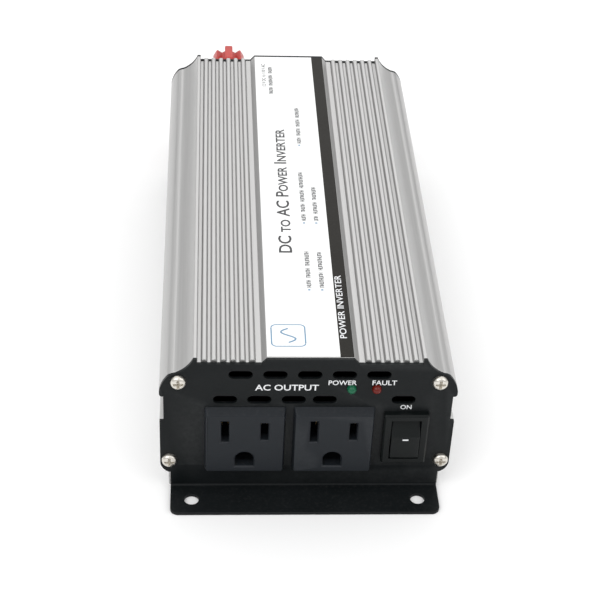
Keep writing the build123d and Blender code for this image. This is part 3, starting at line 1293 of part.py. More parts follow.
def main():
    """Builds every node."""
    os.makedirs("parts", exist_ok=True)
    write("top_case", top_case())
    write("bottom_case", bottom_case())
    write("front_panel", front_panel())
    write("back_panel", back_panel())
    write("front_panel_screws", *panel_screws(FRONT, -1))
    write("back_panel_screws", *panel_screws(BACK, 1))
    write("label_plate", label_plate())
    for side, x in zip(("left", "right"), OUTLET_PLACES):
        write(f"{side}_outlet_housing", outlet_housing(x))
        write(f"{side}_outlet_back", outlet_back(x))
        write(f"{side}_outlet_contacts", *outlet_contacts(x))
    write("switch_housing", switch_housing())
    write("switch_rocker", switch_rocker())
    write("switch_terminals", *switch_terminals())
    write("power_lamp", lamp(LAMP_PLACES[0]))
    write("fault_lamp", lamp(LAMP_PLACES[1]))
    write("lamp_leads", *lamp_leads())
    write("indicator_board", indicator_board())
    heights = [z for z, _ in TERMINALS]
    for name, z in zip(("positive", "negative"), heights):
        write(f"{name}_bush", terminal_bush(z))
        write(f"{name}_washer", terminal_washer(z))
        write(f"{name}_knob", terminal_knob(z))
    write("terminal_studs", *[terminal_stud(z) for z in heights])
    write("terminal_inner_washers", *[terminal_inner_washer(z) for z in heights])
    write("terminal_lugs", *[terminal_lug(z, side) for z, side in TERMINALS])
    write("terminal_nuts", *[terminal_nut(z) for z in heights])
    write("fan_frame", fan_frame())
    write("fan_rotor", fan_rotor())
    write("fan_guard", fan_guard())
    write("fan_screws", *fan_screws())
    write("fan_nuts", *fan_nuts())
    write("ground_screw", earth_screw())
    write("ground_nuts", *earth_nuts())
    write("ground_washer", earth_washer())
    write("main_board", main_board())
    write("insulating_sheet", insulating_sheet())
    write("transformer_cores", *[transformer_core(y) for y in TRANSFORMER_PLACES])
    write("transformer_bobbins", *[transformer_bobbin(y) for y in TRANSFORMER_PLACES])
    write("transformer_windings", *[transformer_winding(y) for y in TRANSFORMER_PLACES])
    write("input_capacitors", *input_capacitors())
    write("output_capacitors", *output_capacitors())
    write("heat_bars", *mirrored_x(heat_bar()))
    write("input_transistors", *transistors(-1, 6))
    write("output_transistors", *transistors(1, 4))
    write("transistor_clamps", *mirrored_x(transistor_clamp()))
    screws = [clamp_screw(y) for y in clamp_screw_places()]
    write("clamp_screws", *screws, *[mirror(piece, Plane.YZ) for piece in screws])
    write("blade_fuses", *blade_fuses())
    write("fuse_clips", *fuse_clips())
    write("control_board", control_board())
    write("control_chips", *control_chips())
    write("buzzer", buzzer())
    write("choke", choke())
    write("terminal_leads", *terminal_leads())
    write("outlet_wires", *outlet_wires())
    write("switch_wires", *switch_wires())
    write("fan_wires", *fan_wires())


if __name__ == "__main__":
    main()
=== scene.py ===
"""The looks of a compact DC to AC power inverter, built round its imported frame.

Metres, in the frame of the CAD model: X is to the right and Y to the back when the AC outlets face the
viewer, and Z is up from the surface that the inverter is bolted to.
"""

from __future__ import annotations

import json
import logging
import math
from dataclasses import dataclass
from enum import Enum

import bmesh
import bpy
import numpy as np
from mathutils import Matrix, Vector

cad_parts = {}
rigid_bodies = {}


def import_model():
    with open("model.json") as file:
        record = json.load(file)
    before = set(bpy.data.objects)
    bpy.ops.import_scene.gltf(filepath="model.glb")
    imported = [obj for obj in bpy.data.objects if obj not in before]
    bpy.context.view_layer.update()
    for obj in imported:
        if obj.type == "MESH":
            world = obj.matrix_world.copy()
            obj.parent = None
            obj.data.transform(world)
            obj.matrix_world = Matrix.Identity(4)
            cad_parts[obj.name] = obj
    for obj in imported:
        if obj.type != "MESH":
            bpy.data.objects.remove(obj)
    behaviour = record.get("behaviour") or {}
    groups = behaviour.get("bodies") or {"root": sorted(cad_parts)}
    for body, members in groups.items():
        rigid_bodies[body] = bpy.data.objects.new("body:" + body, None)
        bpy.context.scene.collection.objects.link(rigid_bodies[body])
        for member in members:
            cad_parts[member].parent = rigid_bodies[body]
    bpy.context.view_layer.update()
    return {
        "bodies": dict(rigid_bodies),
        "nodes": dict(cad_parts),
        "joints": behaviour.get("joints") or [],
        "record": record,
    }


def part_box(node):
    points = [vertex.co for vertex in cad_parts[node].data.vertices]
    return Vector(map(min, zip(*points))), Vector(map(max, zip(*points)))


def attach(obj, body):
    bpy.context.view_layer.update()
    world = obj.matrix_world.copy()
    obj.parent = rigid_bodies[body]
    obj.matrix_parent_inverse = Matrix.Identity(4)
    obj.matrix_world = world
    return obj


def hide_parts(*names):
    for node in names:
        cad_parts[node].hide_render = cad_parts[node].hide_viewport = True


MM = 0.001
HOUSING = "housing"
LOG = logging.getLogger("inverter")
Mesh = bpy.types.Mesh
Piece = bpy.types.Object
Socket = bpy.types.NodeSocket
Tree = bpy.types.NodeTree
Pair = tuple[float, float]
Triple = tuple[float, float, float]


def linked(name: str, data: bpy.types.ID) -> Piece:
    """A new object with its data, put in the scene."""
    holder = bpy.data.objects.new(name, data)
    bpy.context.scene.collection.objects.link(holder)
    return holder


def axis_in(low: Vector, high: Vector) -> Pair:
    """X and Z of the axis along Y through the middle of a box."""
    return (low.x + high.x) / 2, (low.z + high.z) / 2


def pivot_of(joint: str) -> Vector:
    """Where a joint of the frame turns."""
    return Vector(next(each["pos_m"] for each in FRAME["joints"] if each["name"] == joint))


# ------------------------------------------------------------------------------------------ shader groups
class Group(Enum):
    """The shader node groups that materials share."""

    GRAIN = "fine grain"
    LINES = "drawn lines"
    DUST = "settled dust"
    # the mask of a painted highlight along the sharp edges
    EDGES = "painted edge highlight"


class Wiring:
    """Short ways to add and join nodes in one tree."""

    def __init__(self, tree: Tree) -> None:
        """Keeps the tree that nodes are added to."""
        self.tree = tree

    def node(self, kind: str, **settings: object) -> bpy.types.Node:
        """Adds a node and sets its properties, given by name."""
        node = self.tree.nodes.new(kind)
        for name, value in settings.items():
            setattr(node, name, value)
        return node

    def feed(self, socket: Socket, source: object) -> None:
        """Joins a socket to another one, or sets it to a plain value."""
        if isinstance(source, Socket):
            self.tree.links.new(source, socket)
        elif source is not None:
            socket.default_value = source

    def math(self, operation: str, first: object, second: object = None) -> Socket:
        """A Math node on one or two values, and its result."""
        node = self.node("ShaderNodeMath", operation=operation)
        self.feed(node.inputs[0], first)
        self.feed(node.inputs[1], second)
        return node.outputs[0]

    def noise(self, vector: object, scale: object, detail: float = 3.0, rough: float = 0.55) -> Socket:
        """A noise texture's value."""
        node = self.node("ShaderNodeTexNoise")
        self.feed(node.inputs["Vector"], vector)
        self.feed(node.inputs["Scale"], scale)
        self.feed(node.inputs["Detail"], detail)
        self.feed(node.inputs["Roughness"], rough)
        return node.outputs["Fac"]

    def span(self, value: object, low: float, high: float, to_low: float, to_high: float) -> Socket:
        """Maps a value's range low to high onto another range, held at its ends."""
        node = self.node("ShaderNodeMapRange")
        self.feed(node.inputs["Value"], value)
        for name, number in zip(("From Min", "From Max", "To Min", "To Max"), (low, high, to_low, to_high)):
            self.feed(node.inputs[name], number)
        return node.outputs["Result"]

    def mix(self, factor: object, first: object, second: object) -> Socket:
        """A mix of two colours."""
        node = self.node("ShaderNodeMix", data_type="RGBA")
        self.feed(node.inputs["Factor"], factor)
        self.feed(node.inputs[6], first)
        self.feed(node.inputs[7], second)
        return node.outputs[2]

    def axes(self, vector: object) -> tuple[Socket, ...]:
        """The X, Y and Z of a vector."""
        node = self.node("ShaderNodeSeparateXYZ")
        self.feed(node.inputs[0], vector)
        return tuple(node.outputs)

    def shared(self, tree: Tree, vector: Socket, amount: float) -> tuple[Socket, ...]:
        """Puts in a shared group, fed with the vector and its number, and returns what it gives."""
        node = self.node("ShaderNodeGroup", node_tree=tree)
        self.feed(node.inputs[0], vector)
        self.feed(node.inputs[1], amount)
        return tuple(node.outputs)


class SharedGroup(Wiring):
    """A shader node group that takes a vector and one number."""

    def __init__(self, kind: Group, control: str, value: float, outputs: tuple[str, ...] = ("Mask",)) -> None:
        """Makes the group with its sockets.

        Args:
            kind: Which group it is, which gives its name.
            control: The name of the number that it takes.
            value: The number's first value.
            outputs: The names of the numbers that it gives.
        """
        super().__init__(bpy.data.node_groups.new(kind.value, "ShaderNodeTree"))
        sockets = self.tree.interface
        sockets.new_socket("Vector", in_out="INPUT", socket_type="NodeSocketVector")
        sockets.new_socket(control, in_out="INPUT", socket_type="NodeSocketFloat").default_value = value
        for name in outputs:
            sockets.new_socket(name, in_out="OUTPUT", socket_type="NodeSocketFloat")
        self.vector, self.control = self.node("NodeGroupInput").outputs[:2]
        self.out = self.node("NodeGroupOutput").inputs

    def give_blend(self, fine: Socket, broad: Socket, share: float) -> Tree:
        """Gives the fine texture as the height, and a share of it mixed with the broad one as the mask."""
        rest = self.math("MULTIPLY", broad, 1.0 - share)
        blend = self.math("ADD", self.math("MULTIPLY", fine, share), rest)
        self.feed(self.out["Height"], fine)
        self.feed(self.out["Mask"], self.span(blend, 0.3, 0.7, 0.0, 1.0))
        return self.tree

    def give_mask(self, mask: Socket) -> Tree:
        """Gives the mask times the number that the group takes."""
        self.feed(self.out["Mask"], self.math("MULTIPLY", mask, self.control))
        return self.tree


def grain() -> Tree:
    """A fine grain with broad clouds of tone, as a coated or moulded surface has."""
    group = SharedGroup(Group.GRAIN, "Scale", 2500.0, ("Mask", "Height"))
    fine = group.noise(group.vector, group.control, 2.0)
    broad = group.noise(group.vector, group.math("MULTIPLY", group.control, 0.045), 4.0, 0.6)
    return group.give_blend(fine, broad, 0.35)


def drawn_lines() -> Tree:
    """Long lines and bands along Y, as the die leaves them on an extrusion."""
    group = SharedGroup(Group.LINES, "Scale", 2200.0, ("Mask", "Height"))
    stretch = group.node("ShaderNodeMapping")
    group.feed(stretch.inputs["Vector"], group.vector)
    group.feed(stretch.inputs["Scale"], (1.0, 0.006, 1.0))
    drawn = stretch.outputs["Vector"]
    lines = group.noise(drawn, group.control, 4.0, 0.65)
    bands = group.noise(drawn, group.math("MULTIPLY", group.control, 0.12), 2.0)
    return group.give_blend(lines, bands, 0.6)


def settled_dust() -> Tree:
    """Specks in clouds, only where the surface faces upwards."""
    group = SharedGroup(Group.DUST, "Amount", 0.3)
    up = group.axes(group.node("ShaderNodeNewGeometry").outputs["Normal"])[2]
    specks = group.span(group.noise(group.vector, 900.0, 5.0, 0.7), 0.5, 0.75, 0.0, 1.0)
    cloud = group.noise(group.vector, 40.0, 3.0)
    flat = group.span(up, 0.2, 1.0, 0.0, 1.0)
    return group.give_mask(group.math("MULTIPLY", flat, group.math("MULTIPLY", specks, cloud)))


def painted_edge_highlight() -> Tree:
    """A painted highlight: the sharp edges are made paler where the surface is pointed, broken up by a noise.
    """
    group = SharedGroup(Group.EDGES, "Amount", 0.5)
    sharp = group.span(group.node("ShaderNodeNewGeometry").outputs["Pointiness"], 0.53, 0.62, 0.0, 1.0)
    return group.give_mask(group.math("MULTIPLY", sharp, group.noise(group.vector, 700.0, 4.0, 0.6)))


# ------------------------------------------------------------------------------------------ finishes
class Pattern(Enum):
    """What varies over a finish, besides its shared grain."""

    PLAIN = "plain"
    DRAWN = "drawn along the case"
    TWO_TONE = "a stripe beside a light field"
    TRACES = "circuit board with traces"
    WOUND = "turns of wire or tape"
    SLEEVED = "a sleeve with a pale stripe"


DUST_COLOUR = (0.55, 0.53, 0.5, 1.0)
STRIPE_COLOUR = (0.016, 0.0145, 0.012, 1.0)
TRACE_COLOUR = (0.09, 0.34, 0.16, 1.0)
GROOVE_COLOUR = (0.02, 0.015, 0.01, 1.0)
SLEEVE_STRIPE = (0.6, 0.6, 0.58, 1.0)
STRIPE_WIDTH = 4.4 * MM


@dataclass(frozen=True)
class Finish:
    """One material: its two tones, how it shines, and how its surface varies."""

    name: str
    slot: str
    tone: Triple
    tone_2: Triple
    metallic: float = 0.0
    rough: Pair = (0.35, 0.5)
    grain: float = 2500.0
    bump: float = 0.02
    dust: float = 0.0
    # how strongly the sharp edges are painted paler, a painted highlight
    edge_highlight: float = 0.0
    coat: float = 0.0
    specular: float = 0.5
    clear: float = 0.0
    pattern: Pattern = Pattern.PLAIN

    def build(self, groups: dict[Group, Tree]) -> bpy.types.Material:
        """Makes the material.

        Args:
            groups: The shared shader groups.

        Returns:
            The material, ready to be given to pieces.
        """
        material = bpy.data.materials.new(self.name)
        material.use_nodes = True
        tree = material.node_tree
        tree.nodes.clear()
        wiring = Wiring(tree)
        shader = wiring.node("ShaderNodeBsdfPrincipled")
        output = wiring.node("ShaderNodeOutputMaterial")
        tree.links.new(shader.outputs[0], output.inputs[0])
        vector = wiring.node("ShaderNodeTexCoord").outputs["Object"]
        surface = Group.LINES if self.pattern is Pattern.DRAWN else Group.GRAIN
        mask, height = wiring.shared(groups[surface], vector, self.grain)
        colour = wiring.mix(mask, (*self.tone, 1.0), (*self.tone_2, 1.0))
        colour, height = self.decorate(wiring, vector, colour, height)
        rough = wiring.span(mask, 0.0, 1.0, *self.rough)
        # painted highlight: the sharp edges are mixed towards a paler tone of the finish
        if self.edge_highlight:
            edge_highlight_mask = wiring.shared(groups[Group.EDGES], vector, self.edge_highlight)[0]
            pale = tuple(min(1.0, 0.12 + 2.2 * channel) for channel in self.tone)
            colour = wiring.mix(edge_highlight_mask, colour, (*pale, 1.0))
        if self.dust:
            dusty = wiring.shared(groups[Group.DUST], vector, self.dust)[0]
            colour = wiring.mix(dusty, colour, DUST_COLOUR)
            rough = wiring.math("MAXIMUM", rough, wiring.math("MULTIPLY", dusty, 0.9))
        bump = wiring.node("ShaderNodeBump")
        for name, value in (("Strength", 0.6), ("Distance", self.bump * MM), ("Height", height)):
            wiring.feed(bump.inputs[name], value)
        for name, value in (("Base Color", colour), ("Roughness", rough), ("Metallic", self.metallic),
                            ("Coat Weight", self.coat), ("Coat Roughness", 0.12),
                            ("Specular IOR Level", self.specular), ("Transmission Weight", self.clear),
                            ("Normal", bump.outputs["Normal"])):
            wiring.feed(shader.inputs[name], value)
        return material

    def decorate(self, wiring: Wiring, vector: Socket, colour: Socket,
                 height: Socket) -> tuple[Socket, Socket]:
        """Adds the finish's pattern.

        Args:
            wiring: The material's wiring.
            vector: Object coordinates.
            colour: The colour so far.
            height: The bump height so far.

        Returns:
            The colour and the height with the pattern in them.
        """
        across, along, up = wiring.axes(vector)
        if self.pattern is Pattern.TWO_TONE:
            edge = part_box("label_plate")[1].x - STRIPE_WIDTH
            wander = wiring.math("MULTIPLY", wiring.noise(vector, 3000.0), 0.03 * MM)
            mask = wiring.span(wiring.math("ADD", across, wander), edge, edge + 0.06 * MM, 0.0, 1.0)
            colour = wiring.mix(mask, colour, STRIPE_COLOUR)
        if self.pattern is Pattern.TRACES:
            cells = wiring.node("ShaderNodeTexBrick", offset=0.37)
            wiring.feed(cells.inputs["Vector"], vector)
            wiring.feed(cells.inputs["Scale"], 210.0)
            wiring.feed(cells.inputs["Mortar Size"], 0.045)
            traces = wiring.math("MULTIPLY", cells.outputs["Fac"], 0.7)
            colour = wiring.mix(traces, colour, TRACE_COLOUR)
            height = wiring.math("ADD", height, cells.outputs["Fac"])
        if self.pattern is Pattern.WOUND:
            turns = wiring.math("PINGPONG", wiring.math("MULTIPLY", up, 1.0 / MM), 0.6)
            colour = wiring.mix(wiring.span(turns, 0.0, 0.2, 0.55, 0.0), colour, GROOVE_COLOUR)
            height = wiring.math("ADD", height, wiring.math("MULTIPLY", turns, 8.0))
        if self.pattern is Pattern.SLEEVED:
            turn = wiring.math("PINGPONG", wiring.math("ADD", across, along), 5.0 * MM)
            colour = wiring.mix(wiring.span(turn, 4.2 * MM, 4.3 * MM, 0.0, 0.8), colour, SLEEVE_STRIPE)
        return colour, height


ALUMINIUM = Finish("anodised_aluminium", "case", (0.46, 0.458, 0.455), (0.56, 0.558, 0.552), 1.0,
                   (0.36, 0.5), 3200.0, 0.03, dust=0.15, pattern=Pattern.DRAWN)
POWDER_COAT = Finish("black_powder_coat", "panel", (0.004, 0.0055, 0.006), (0.007, 0.0085, 0.0095), 0.0,
                     (0.34, 0.46), 1500.0, 0.04, dust=0.04, edge_highlight=0.15, specular=0.14)
NICKEL = Finish("nickel_plate", "screw", (0.62, 0.59, 0.54), (0.72, 0.69, 0.63), 1.0, (0.2, 0.34), 1800.0,
                0.01)
LABEL_FILM = Finish("label_film", "label", (0.86, 0.87, 0.87), (0.9, 0.905, 0.9), 0.0, (0.34, 0.44),
                    1200.0, 0.006, dust=0.03, specular=0.12, pattern=Pattern.TWO_TONE)
DARK_INK = Finish("dark_ink", "label", (0.012, 0.012, 0.014), (0.03, 0.03, 0.034), 0.0, (0.3, 0.4),
                  4000.0, 0.004)
GREY_INK = Finish("grey_ink", "label", (0.05, 0.05, 0.055), (0.08, 0.08, 0.085), 0.0, (0.3, 0.4), 4000.0,
                  0.004)
BLUE_INK = Finish("blue_ink", "label", (0.10, 0.22, 0.36), (0.14, 0.28, 0.42), 0.0, (0.3, 0.4), 4000.0,
                  0.004)
WHITE_INK = Finish("white_ink", "panel", (0.74, 0.75, 0.77), (0.82, 0.83, 0.84), 0.0, (0.4, 0.5), 5000.0,
                   0.006)
OUTLET_PLASTIC = Finish("outlet_plastic", "outlet", (0.009, 0.0115, 0.015), (0.013, 0.016, 0.02), 0.0,
                        (0.36, 0.5), 3600.0, 0.03, dust=0.04, edge_highlight=0.12, specular=0.22)
SWITCH_PLASTIC = Finish("switch_plastic", "switch", (0.0035, 0.005, 0.005), (0.006, 0.0075, 0.0075), 0.0,
                        (0.3, 0.42), 3000.0, 0.02, edge_highlight=0.1, specular=0.16)
GREEN_LENS = Finish("green_lens", "green_lens", (0.003, 0.085, 0.038), (0.005, 0.13, 0.06), 0.0,
                    (0.12, 0.22), 900.0, 0.004, coat=0.1, specular=0.3)
RED_LENS = Finish("red_lens", "red_lens", (0.10, 0.005, 0.002), (0.15, 0.008, 0.003), 0.0, (0.12, 0.22),
                  900.0, 0.004, coat=0.1, specular=0.3)
RED_PLASTIC = Finish("red_plastic", "red_plastic", (0.42, 0.022, 0.018), (0.50, 0.035, 0.025), 0.0,
                     (0.26, 0.4), 2600.0, 0.02, dust=0.1, edge_highlight=0.15)
BLACK_PLASTIC = Finish("black_plastic", "black_plastic", (0.013, 0.013, 0.015), (0.022, 0.022, 0.024),
                       0.0, (0.26, 0.4), 2600.0, 0.02, dust=0.1, edge_highlight=0.12)
FAN_PLASTIC = Finish("fan_plastic", "switch", (0.014, 0.014, 0.015), (0.024, 0.024, 0.026), 0.0,
                     (0.38, 0.55), 1800.0, 0.03, dust=0.3)
GUARD_WIRE = Finish("plated_wire", "guard", (0.66, 0.66, 0.65), (0.76, 0.76, 0.75), 1.0, (0.16, 0.3),
                    1400.0, 0.01)
BRASS = Finish("brass_strip", "contact", (0.36, 0.25, 0.11), (0.46, 0.33, 0.16), 1.0, (0.25, 0.4), 1500.0,
               0.01)
TINNED = Finish("tinned_copper", "tinned", (0.6, 0.6, 0.58), (0.7, 0.7, 0.69), 1.0, (0.3, 0.45), 1500.0,
                0.02)
BOARD = Finish("circuit_board", "circuit_board", (0.012, 0.12, 0.045), (0.02, 0.17, 0.065), 0.0,
               (0.25, 0.4), 2000.0, 0.02, coat=0.3, pattern=Pattern.TRACES)
FERRITE = Finish("ferrite", "ferrite", (0.03, 0.03, 0.032), (0.06, 0.06, 0.064), 0.0, (0.5, 0.7), 1500.0,
                 0.05)
BOBBIN = Finish("bobbin_moulding", "bobbin", (0.02, 0.02, 0.02), (0.035, 0.035, 0.036), 0.0, (0.4, 0.55))
TAPE = Finish("yellow_tape", "tape", (0.62, 0.42, 0.03), (0.72, 0.5, 0.05), 0.0, (0.3, 0.42), 1200.0,
              0.02, coat=0.2, pattern=Pattern.WOUND)
SLEEVE = Finish("capacitor_sleeve", "capacitor", (0.015, 0.02, 0.06), (0.022, 0.03, 0.085), 0.0,
                (0.25, 0.35), 1400.0, 0.01, coat=0.3, pattern=Pattern.SLEEVED)
SAWN_BAR = Finish("sawn_bar", "heat_bar", (0.5, 0.5, 0.5), (0.62, 0.62, 0.62), 1.0, (0.35, 0.55), 2600.0,
                  0.03, pattern=Pattern.DRAWN)
FUSE_GRIP = Finish("fuse_grip", "fuse", (0.02, 0.3, 0.08), (0.04, 0.4, 0.12), 0.0, (0.15, 0.3), 1500.0,
                   0.01, coat=0.4, clear=0.3)
INSULATION = Finish("wire_insulation", "wire", (0.02, 0.02, 0.02), (0.035, 0.035, 0.035), 0.0,
                    (0.4, 0.55))
FILM = Finish("insulating_film", "film", (0.6, 0.62, 0.6), (0.7, 0.72, 0.7), 0.0, (0.2, 0.35), 1200.0,
              0.01)

FINISHES = (ALUMINIUM, POWDER_COAT, NICKEL, LABEL_FILM, DARK_INK, GREY_INK, BLUE_INK, WHITE_INK,
            OUTLET_PLASTIC, SWITCH_PLASTIC, GREEN_LENS, RED_LENS, RED_PLASTIC, BLACK_PLASTIC, FAN_PLASTIC,
            GUARD_WIRE, BRASS, TINNED, BOARD, FERRITE, BOBBIN, TAPE, SLEEVE, SAWN_BAR, FUSE_GRIP,
            INSULATION, FILM)


class Workshop:
    """Holds the finished materials and gives each piece its finish, its body and what it stands for."""

    def __init__(self) -> None:
        """Builds the shared groups and every finish."""
        groups = {Group.GRAIN: grain(), Group.LINES: drawn_lines(), Group.DUST: settled_dust(),
                  Group.EDGES: painted_edge_highlight()}
        self.materials = {finish: finish.build(groups) for finish in FINISHES}

    def add(self, name: str, mesh: Mesh, finish: Finish, *nodes: str, body: str = HOUSING,
            smooth_angle: float = 35.0) -> None:
        """Puts a mesh in the scene as a finished piece.

        Args:
            name: The piece's name.
            mesh: Its mesh.
            finish: What it is made of.
            nodes: The CAD nodes that it stands for.
            body: The body that it moves with.
            smooth_angle: Edges sharper than this, in degrees, stay sharp.
        """
        self.dress(make_object(name, mesh, smooth_angle), finish, *nodes, body=body)

    def add_rounded(self, name: str, node: str, finish: Finish, edge: float, segments: int = 2,
                    body: str = HOUSING) -> None:
        """Puts a copy of a CAD node, with its edges rounded, in the node's place."""
        self.dress(refined(name, node, edge, segments), finish, node, body=body)

    def dress(self, piece: Piece, finish: Finish, *nodes: str, body: str = HOUSING) -> None:
        """Gives a new piece its finish, the body that it rides and the nodes that it stands for."""
        self.repaint(piece, finish)
        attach(piece, body)
        if nodes:
            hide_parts(*nodes)

    def repaint(self, piece: Piece, finish: Finish) -> None:
        """Gives a piece or a CAD node its only material."""
        piece.data.materials.clear()
        piece.data.materials.append(self.materials[finish])
        LOG.info("%s: %s", piece.name, finish.name)


# ------------------------------------------------------------------------------------------ surfaces
def make_object(name: str, mesh: Mesh, smooth_angle: float = 35.0) -> Piece:
    """Puts a mesh in the scene, smooth except over edges sharper than an angle in degrees."""
    mesh.shade_smooth()
    mesh.set_sharp_from_angle(angle=math.radians(smooth_angle))
    return linked(name, mesh)


def grid_faces(rows: int, columns: int, closed: bool, start: int = 0) -> np.ndarray:
    """The quads of a grid of points.

    Args:
        rows: Points along the first parameter.
        columns: Points along the second parameter.
        closed: Whether the last column joins the first.
        start: The index of the grid's first point.

    Returns:
        An array of quads, four point indices each.
    """
    across = columns if closed else columns - 1
    row, column = np.meshgrid(np.arange(rows - 1), np.arange(across), indexing="ij")
    after = (column + 1) % columns
    corners = (row * columns + column, row * columns + after, (row + 1) * columns + after,
               (row + 1) * columns + column)
    return np.stack(corners, axis=-1).reshape(-1, 4) + start


def mesh_from(name: str, points: np.ndarray, faces: list[list[int]], merge: float = 1e-7) -> Mesh:
    """A mesh with doubled points merged and its faces turned outwards."""
    mesh = bpy.data.meshes.new(name)
    mesh.from_pydata(points.reshape(-1, 3).tolist(), [], faces)
    work = bmesh.new()
    work.from_mesh(mesh)
    bmesh.ops.remove_doubles(work, verts=work.verts, dist=merge)
    bmesh.ops.recalc_face_normals(work, faces=work.faces)
    work.to_mesh(mesh)
    work.free()
    return mesh


def lofted(name: str, sections: np.ndarray, capped: bool = True) -> Mesh:
    """A closed skin over a stack of closed sections.

    Args:
        name: The mesh's name.
        sections: An array of sections, points round each section, and three coordinates.
        capped: Whether the first and the last section are closed with a face.

    Returns:
        The mesh.
    """
    rows, columns = sections.shape[:2]
    faces = grid_faces(rows, columns, True).tolist()
    if capped:
        faces.append(list(range(columns))[::-1])
        faces.append(list(range((rows - 1) * columns, rows * columns)))
    return mesh_from(name, sections, faces)


def about_y(centre: Pair, radius: np.ndarray, angle: np.ndarray, y: np.ndarray) -> np.ndarray:
    """Points about an axis along Y: x = cx + r cos t and z = cz + r sin t, each at its y."""
    x = centre[0] + radius * np.cos(angle)
    z = centre[1] + radius * np.sin(angle)
    return np.stack([x, np.broadcast_to(y, x.shape), z], axis=-1)


def turned(name: str, centre: Pair, profile: np.ndarray, steps: int = 64) -> Mesh:
    """A profile of (radius, y) turned about an axis along Y.

    Args:
        name: The mesh's name.
        centre: X and Z of the axis.
        profile: The points of the profile, radius and y.
        steps: Points round the axis.

    Returns:
        The mesh, closed where the profile ends on the axis.
    """
    angle = np.linspace(0.0, 2.0 * np.pi, steps, endpoint=False)
    return lofted(name, about_y(centre, profile[:, :1], angle, profile[:, 1:]))


def filleted(corners: np.ndarray, radii: np.ndarray, steps: int = 5) -> np.ndarray:
    """Rounds the corners of a closed outline.

    At each corner the arc touches both sides at radius / tan(half the corner's angle) from it, and its centre
    is on the bisector at radius / sin(half the angle).

    Args:
        corners: The outline's corners in order, two coordinates each.
        radii: The radius at each corner. Zero leaves it sharp.
        steps: Points on each arc.

    Returns:
        The rounded outline's points.
    """
    back = np.roll(corners, 1, axis=0) - corners
    ahead = np.roll(corners, -1, axis=0) - corners
    back /= np.linalg.norm(back, axis=1, keepdims=True)
    ahead /= np.linalg.norm(ahead, axis=1, keepdims=True)
    half = 0.5 * np.arccos(np.clip((back * ahead).sum(axis=1), -1.0, 1.0))
    middle = back + ahead
    length = np.linalg.norm(middle, axis=1, keepdims=True)
    middle = np.where(length > 1e-9, middle / np.maximum(length, 1e-9), 0.0)
    reach = (radii / np.tan(half))[:, None]
    centre = corners + middle * (radii / np.sin(half))[:, None]
    first, last = corners + back * reach - centre, corners + ahead * reach - centre
    start = np.arctan2(first[:, 1], first[:, 0])
    sweep = (np.arctan2(last[:, 1], last[:, 0]) - start + np.pi) % (2.0 * np.pi) - np.pi
    angle = start[:, None] + sweep[:, None] * np.linspace(0.0, 1.0, steps)
    points = centre[:, None] + radii[:, None, None] * np.stack([np.cos(angle), np.sin(angle)], axis=-1)
    points = points.reshape(-1, 2)
    keep = np.linalg.norm(points - np.roll(points, 1, axis=0), axis=1) > 1e-8
    return points[keep]


def arc_points(start: np.ndarray, end: np.ndarray, sag: float, count: int) -> np.ndarray:
    """Points of a flat arc after its start: the chord, and 4 sag s (1 - s) to its left."""
    share = np.linspace(0.0, 1.0, count)[1:, None]
    chord = end - start
    left = np.array([-chord[1], chord[0]]) / np.linalg.norm(chord)
    return start + chord * share + 4 * sag * share * (1 - share) * left


def drawn_along_y(name: str, outline: np.ndarray, stations: np.ndarray) -> Mesh:
    """An outline of (x, z) carried along Y through the stations, which are pairs of y and an inset.

    Each point moves in along its own normal by the inset, so that the ends of the bar have a small bevel.
    """
    edge = np.roll(outline, -1, axis=0) - np.roll(outline, 1, axis=0)
    normal = np.stack([edge[:, 1], -edge[:, 0]], axis=1)
    normal /= np.linalg.norm(normal, axis=1, keepdims=True)
    area = np.cross(outline, np.roll(outline, -1, axis=0)).sum()
    normal *= np.sign(area)
    flat = outline[None] - normal[None] * stations[:, 1, None, None]
    y = np.broadcast_to(stations[:, 0, None], flat.shape[:2])
    return lofted(name, np.stack([flat[..., 0], y, flat[..., 1]], axis=-1))


def bar_along_x(name: str, outline: np.ndarray, low: float, high: float, bevel: float) -> Mesh:
    """An outline of (y, z) carried along X, with its ends drawn in by a bevel towards its middle."""
    middle = outline.mean(axis=0)
    share = 1.0 - bevel / np.abs(outline - middle).max()
    rows = [(low, share), (low + bevel * 0.3, 0.5 + share / 2), (low + bevel, 1.0), (high - bevel, 1.0),
            (high - bevel * 0.3, 0.5 + share / 2), (high, share)]
    place, scale = np.array(rows).T[:, :, None]
    flat = middle + (outline - middle)[None] * scale[:, None]
    x = np.broadcast_to(place, flat.shape[:2])
    return lofted(name, np.stack([x, flat[..., 0], flat[..., 1]], axis=-1))


def tube(name: str, path: np.ndarray, radius: float, closed: bool = False, steps: int = 12) -> Mesh:
    """A round tube about a path.

    The ring at each point lies in the plane square to the path there: point + r (n cos t + b sin t).

    Args:
        name: The mesh's name.
        path: The path's points.
        radius: The tube's radius.
        closed: Whether the path closes on itself.
        steps: Points round the tube.

    Returns:
        The mesh.
    """
    tangent = np.roll(path, -1, axis=0) - np.roll(path, 1, axis=0)
    if not closed:
        tangent[0], tangent[-1] = path[1] - path[0], path[-1] - path[-2]
    tangent /= np.linalg.norm(tangent, axis=1, keepdims=True)
    side = np.cross(tangent, np.array([0.0, 1.0, 0.0]))
    weak = np.linalg.norm(side, axis=1) < 0.1
    side[weak] = np.cross(tangent[weak], np.array([1.0, 0.0, 0.0]))
    side /= np.linalg.norm(side, axis=1, keepdims=True)
    other = np.cross(tangent, side)
    angle = np.linspace(0.0, 2.0 * np.pi, steps, endpoint=False)[None, :, None]
    rings = path[:, None] + radius * (side[:, None] * np.cos(angle) + other[:, None] * np.sin(angle))
    if closed:
        rings = np.concatenate([rings, rings[:1]])
    return lofted(name, rings, capped=not closed)


def joined(name: str, meshes: list[Mesh]) -> Mesh:
    """Several meshes as one, with the loose ones removed."""
    work = bmesh.new()
    for mesh in meshes:
        work.from_mesh(mesh)
        bpy.data.meshes.remove(mesh)
    result = bpy.data.meshes.new(name)
    work.to_mesh(result)
    work.free()
    return result


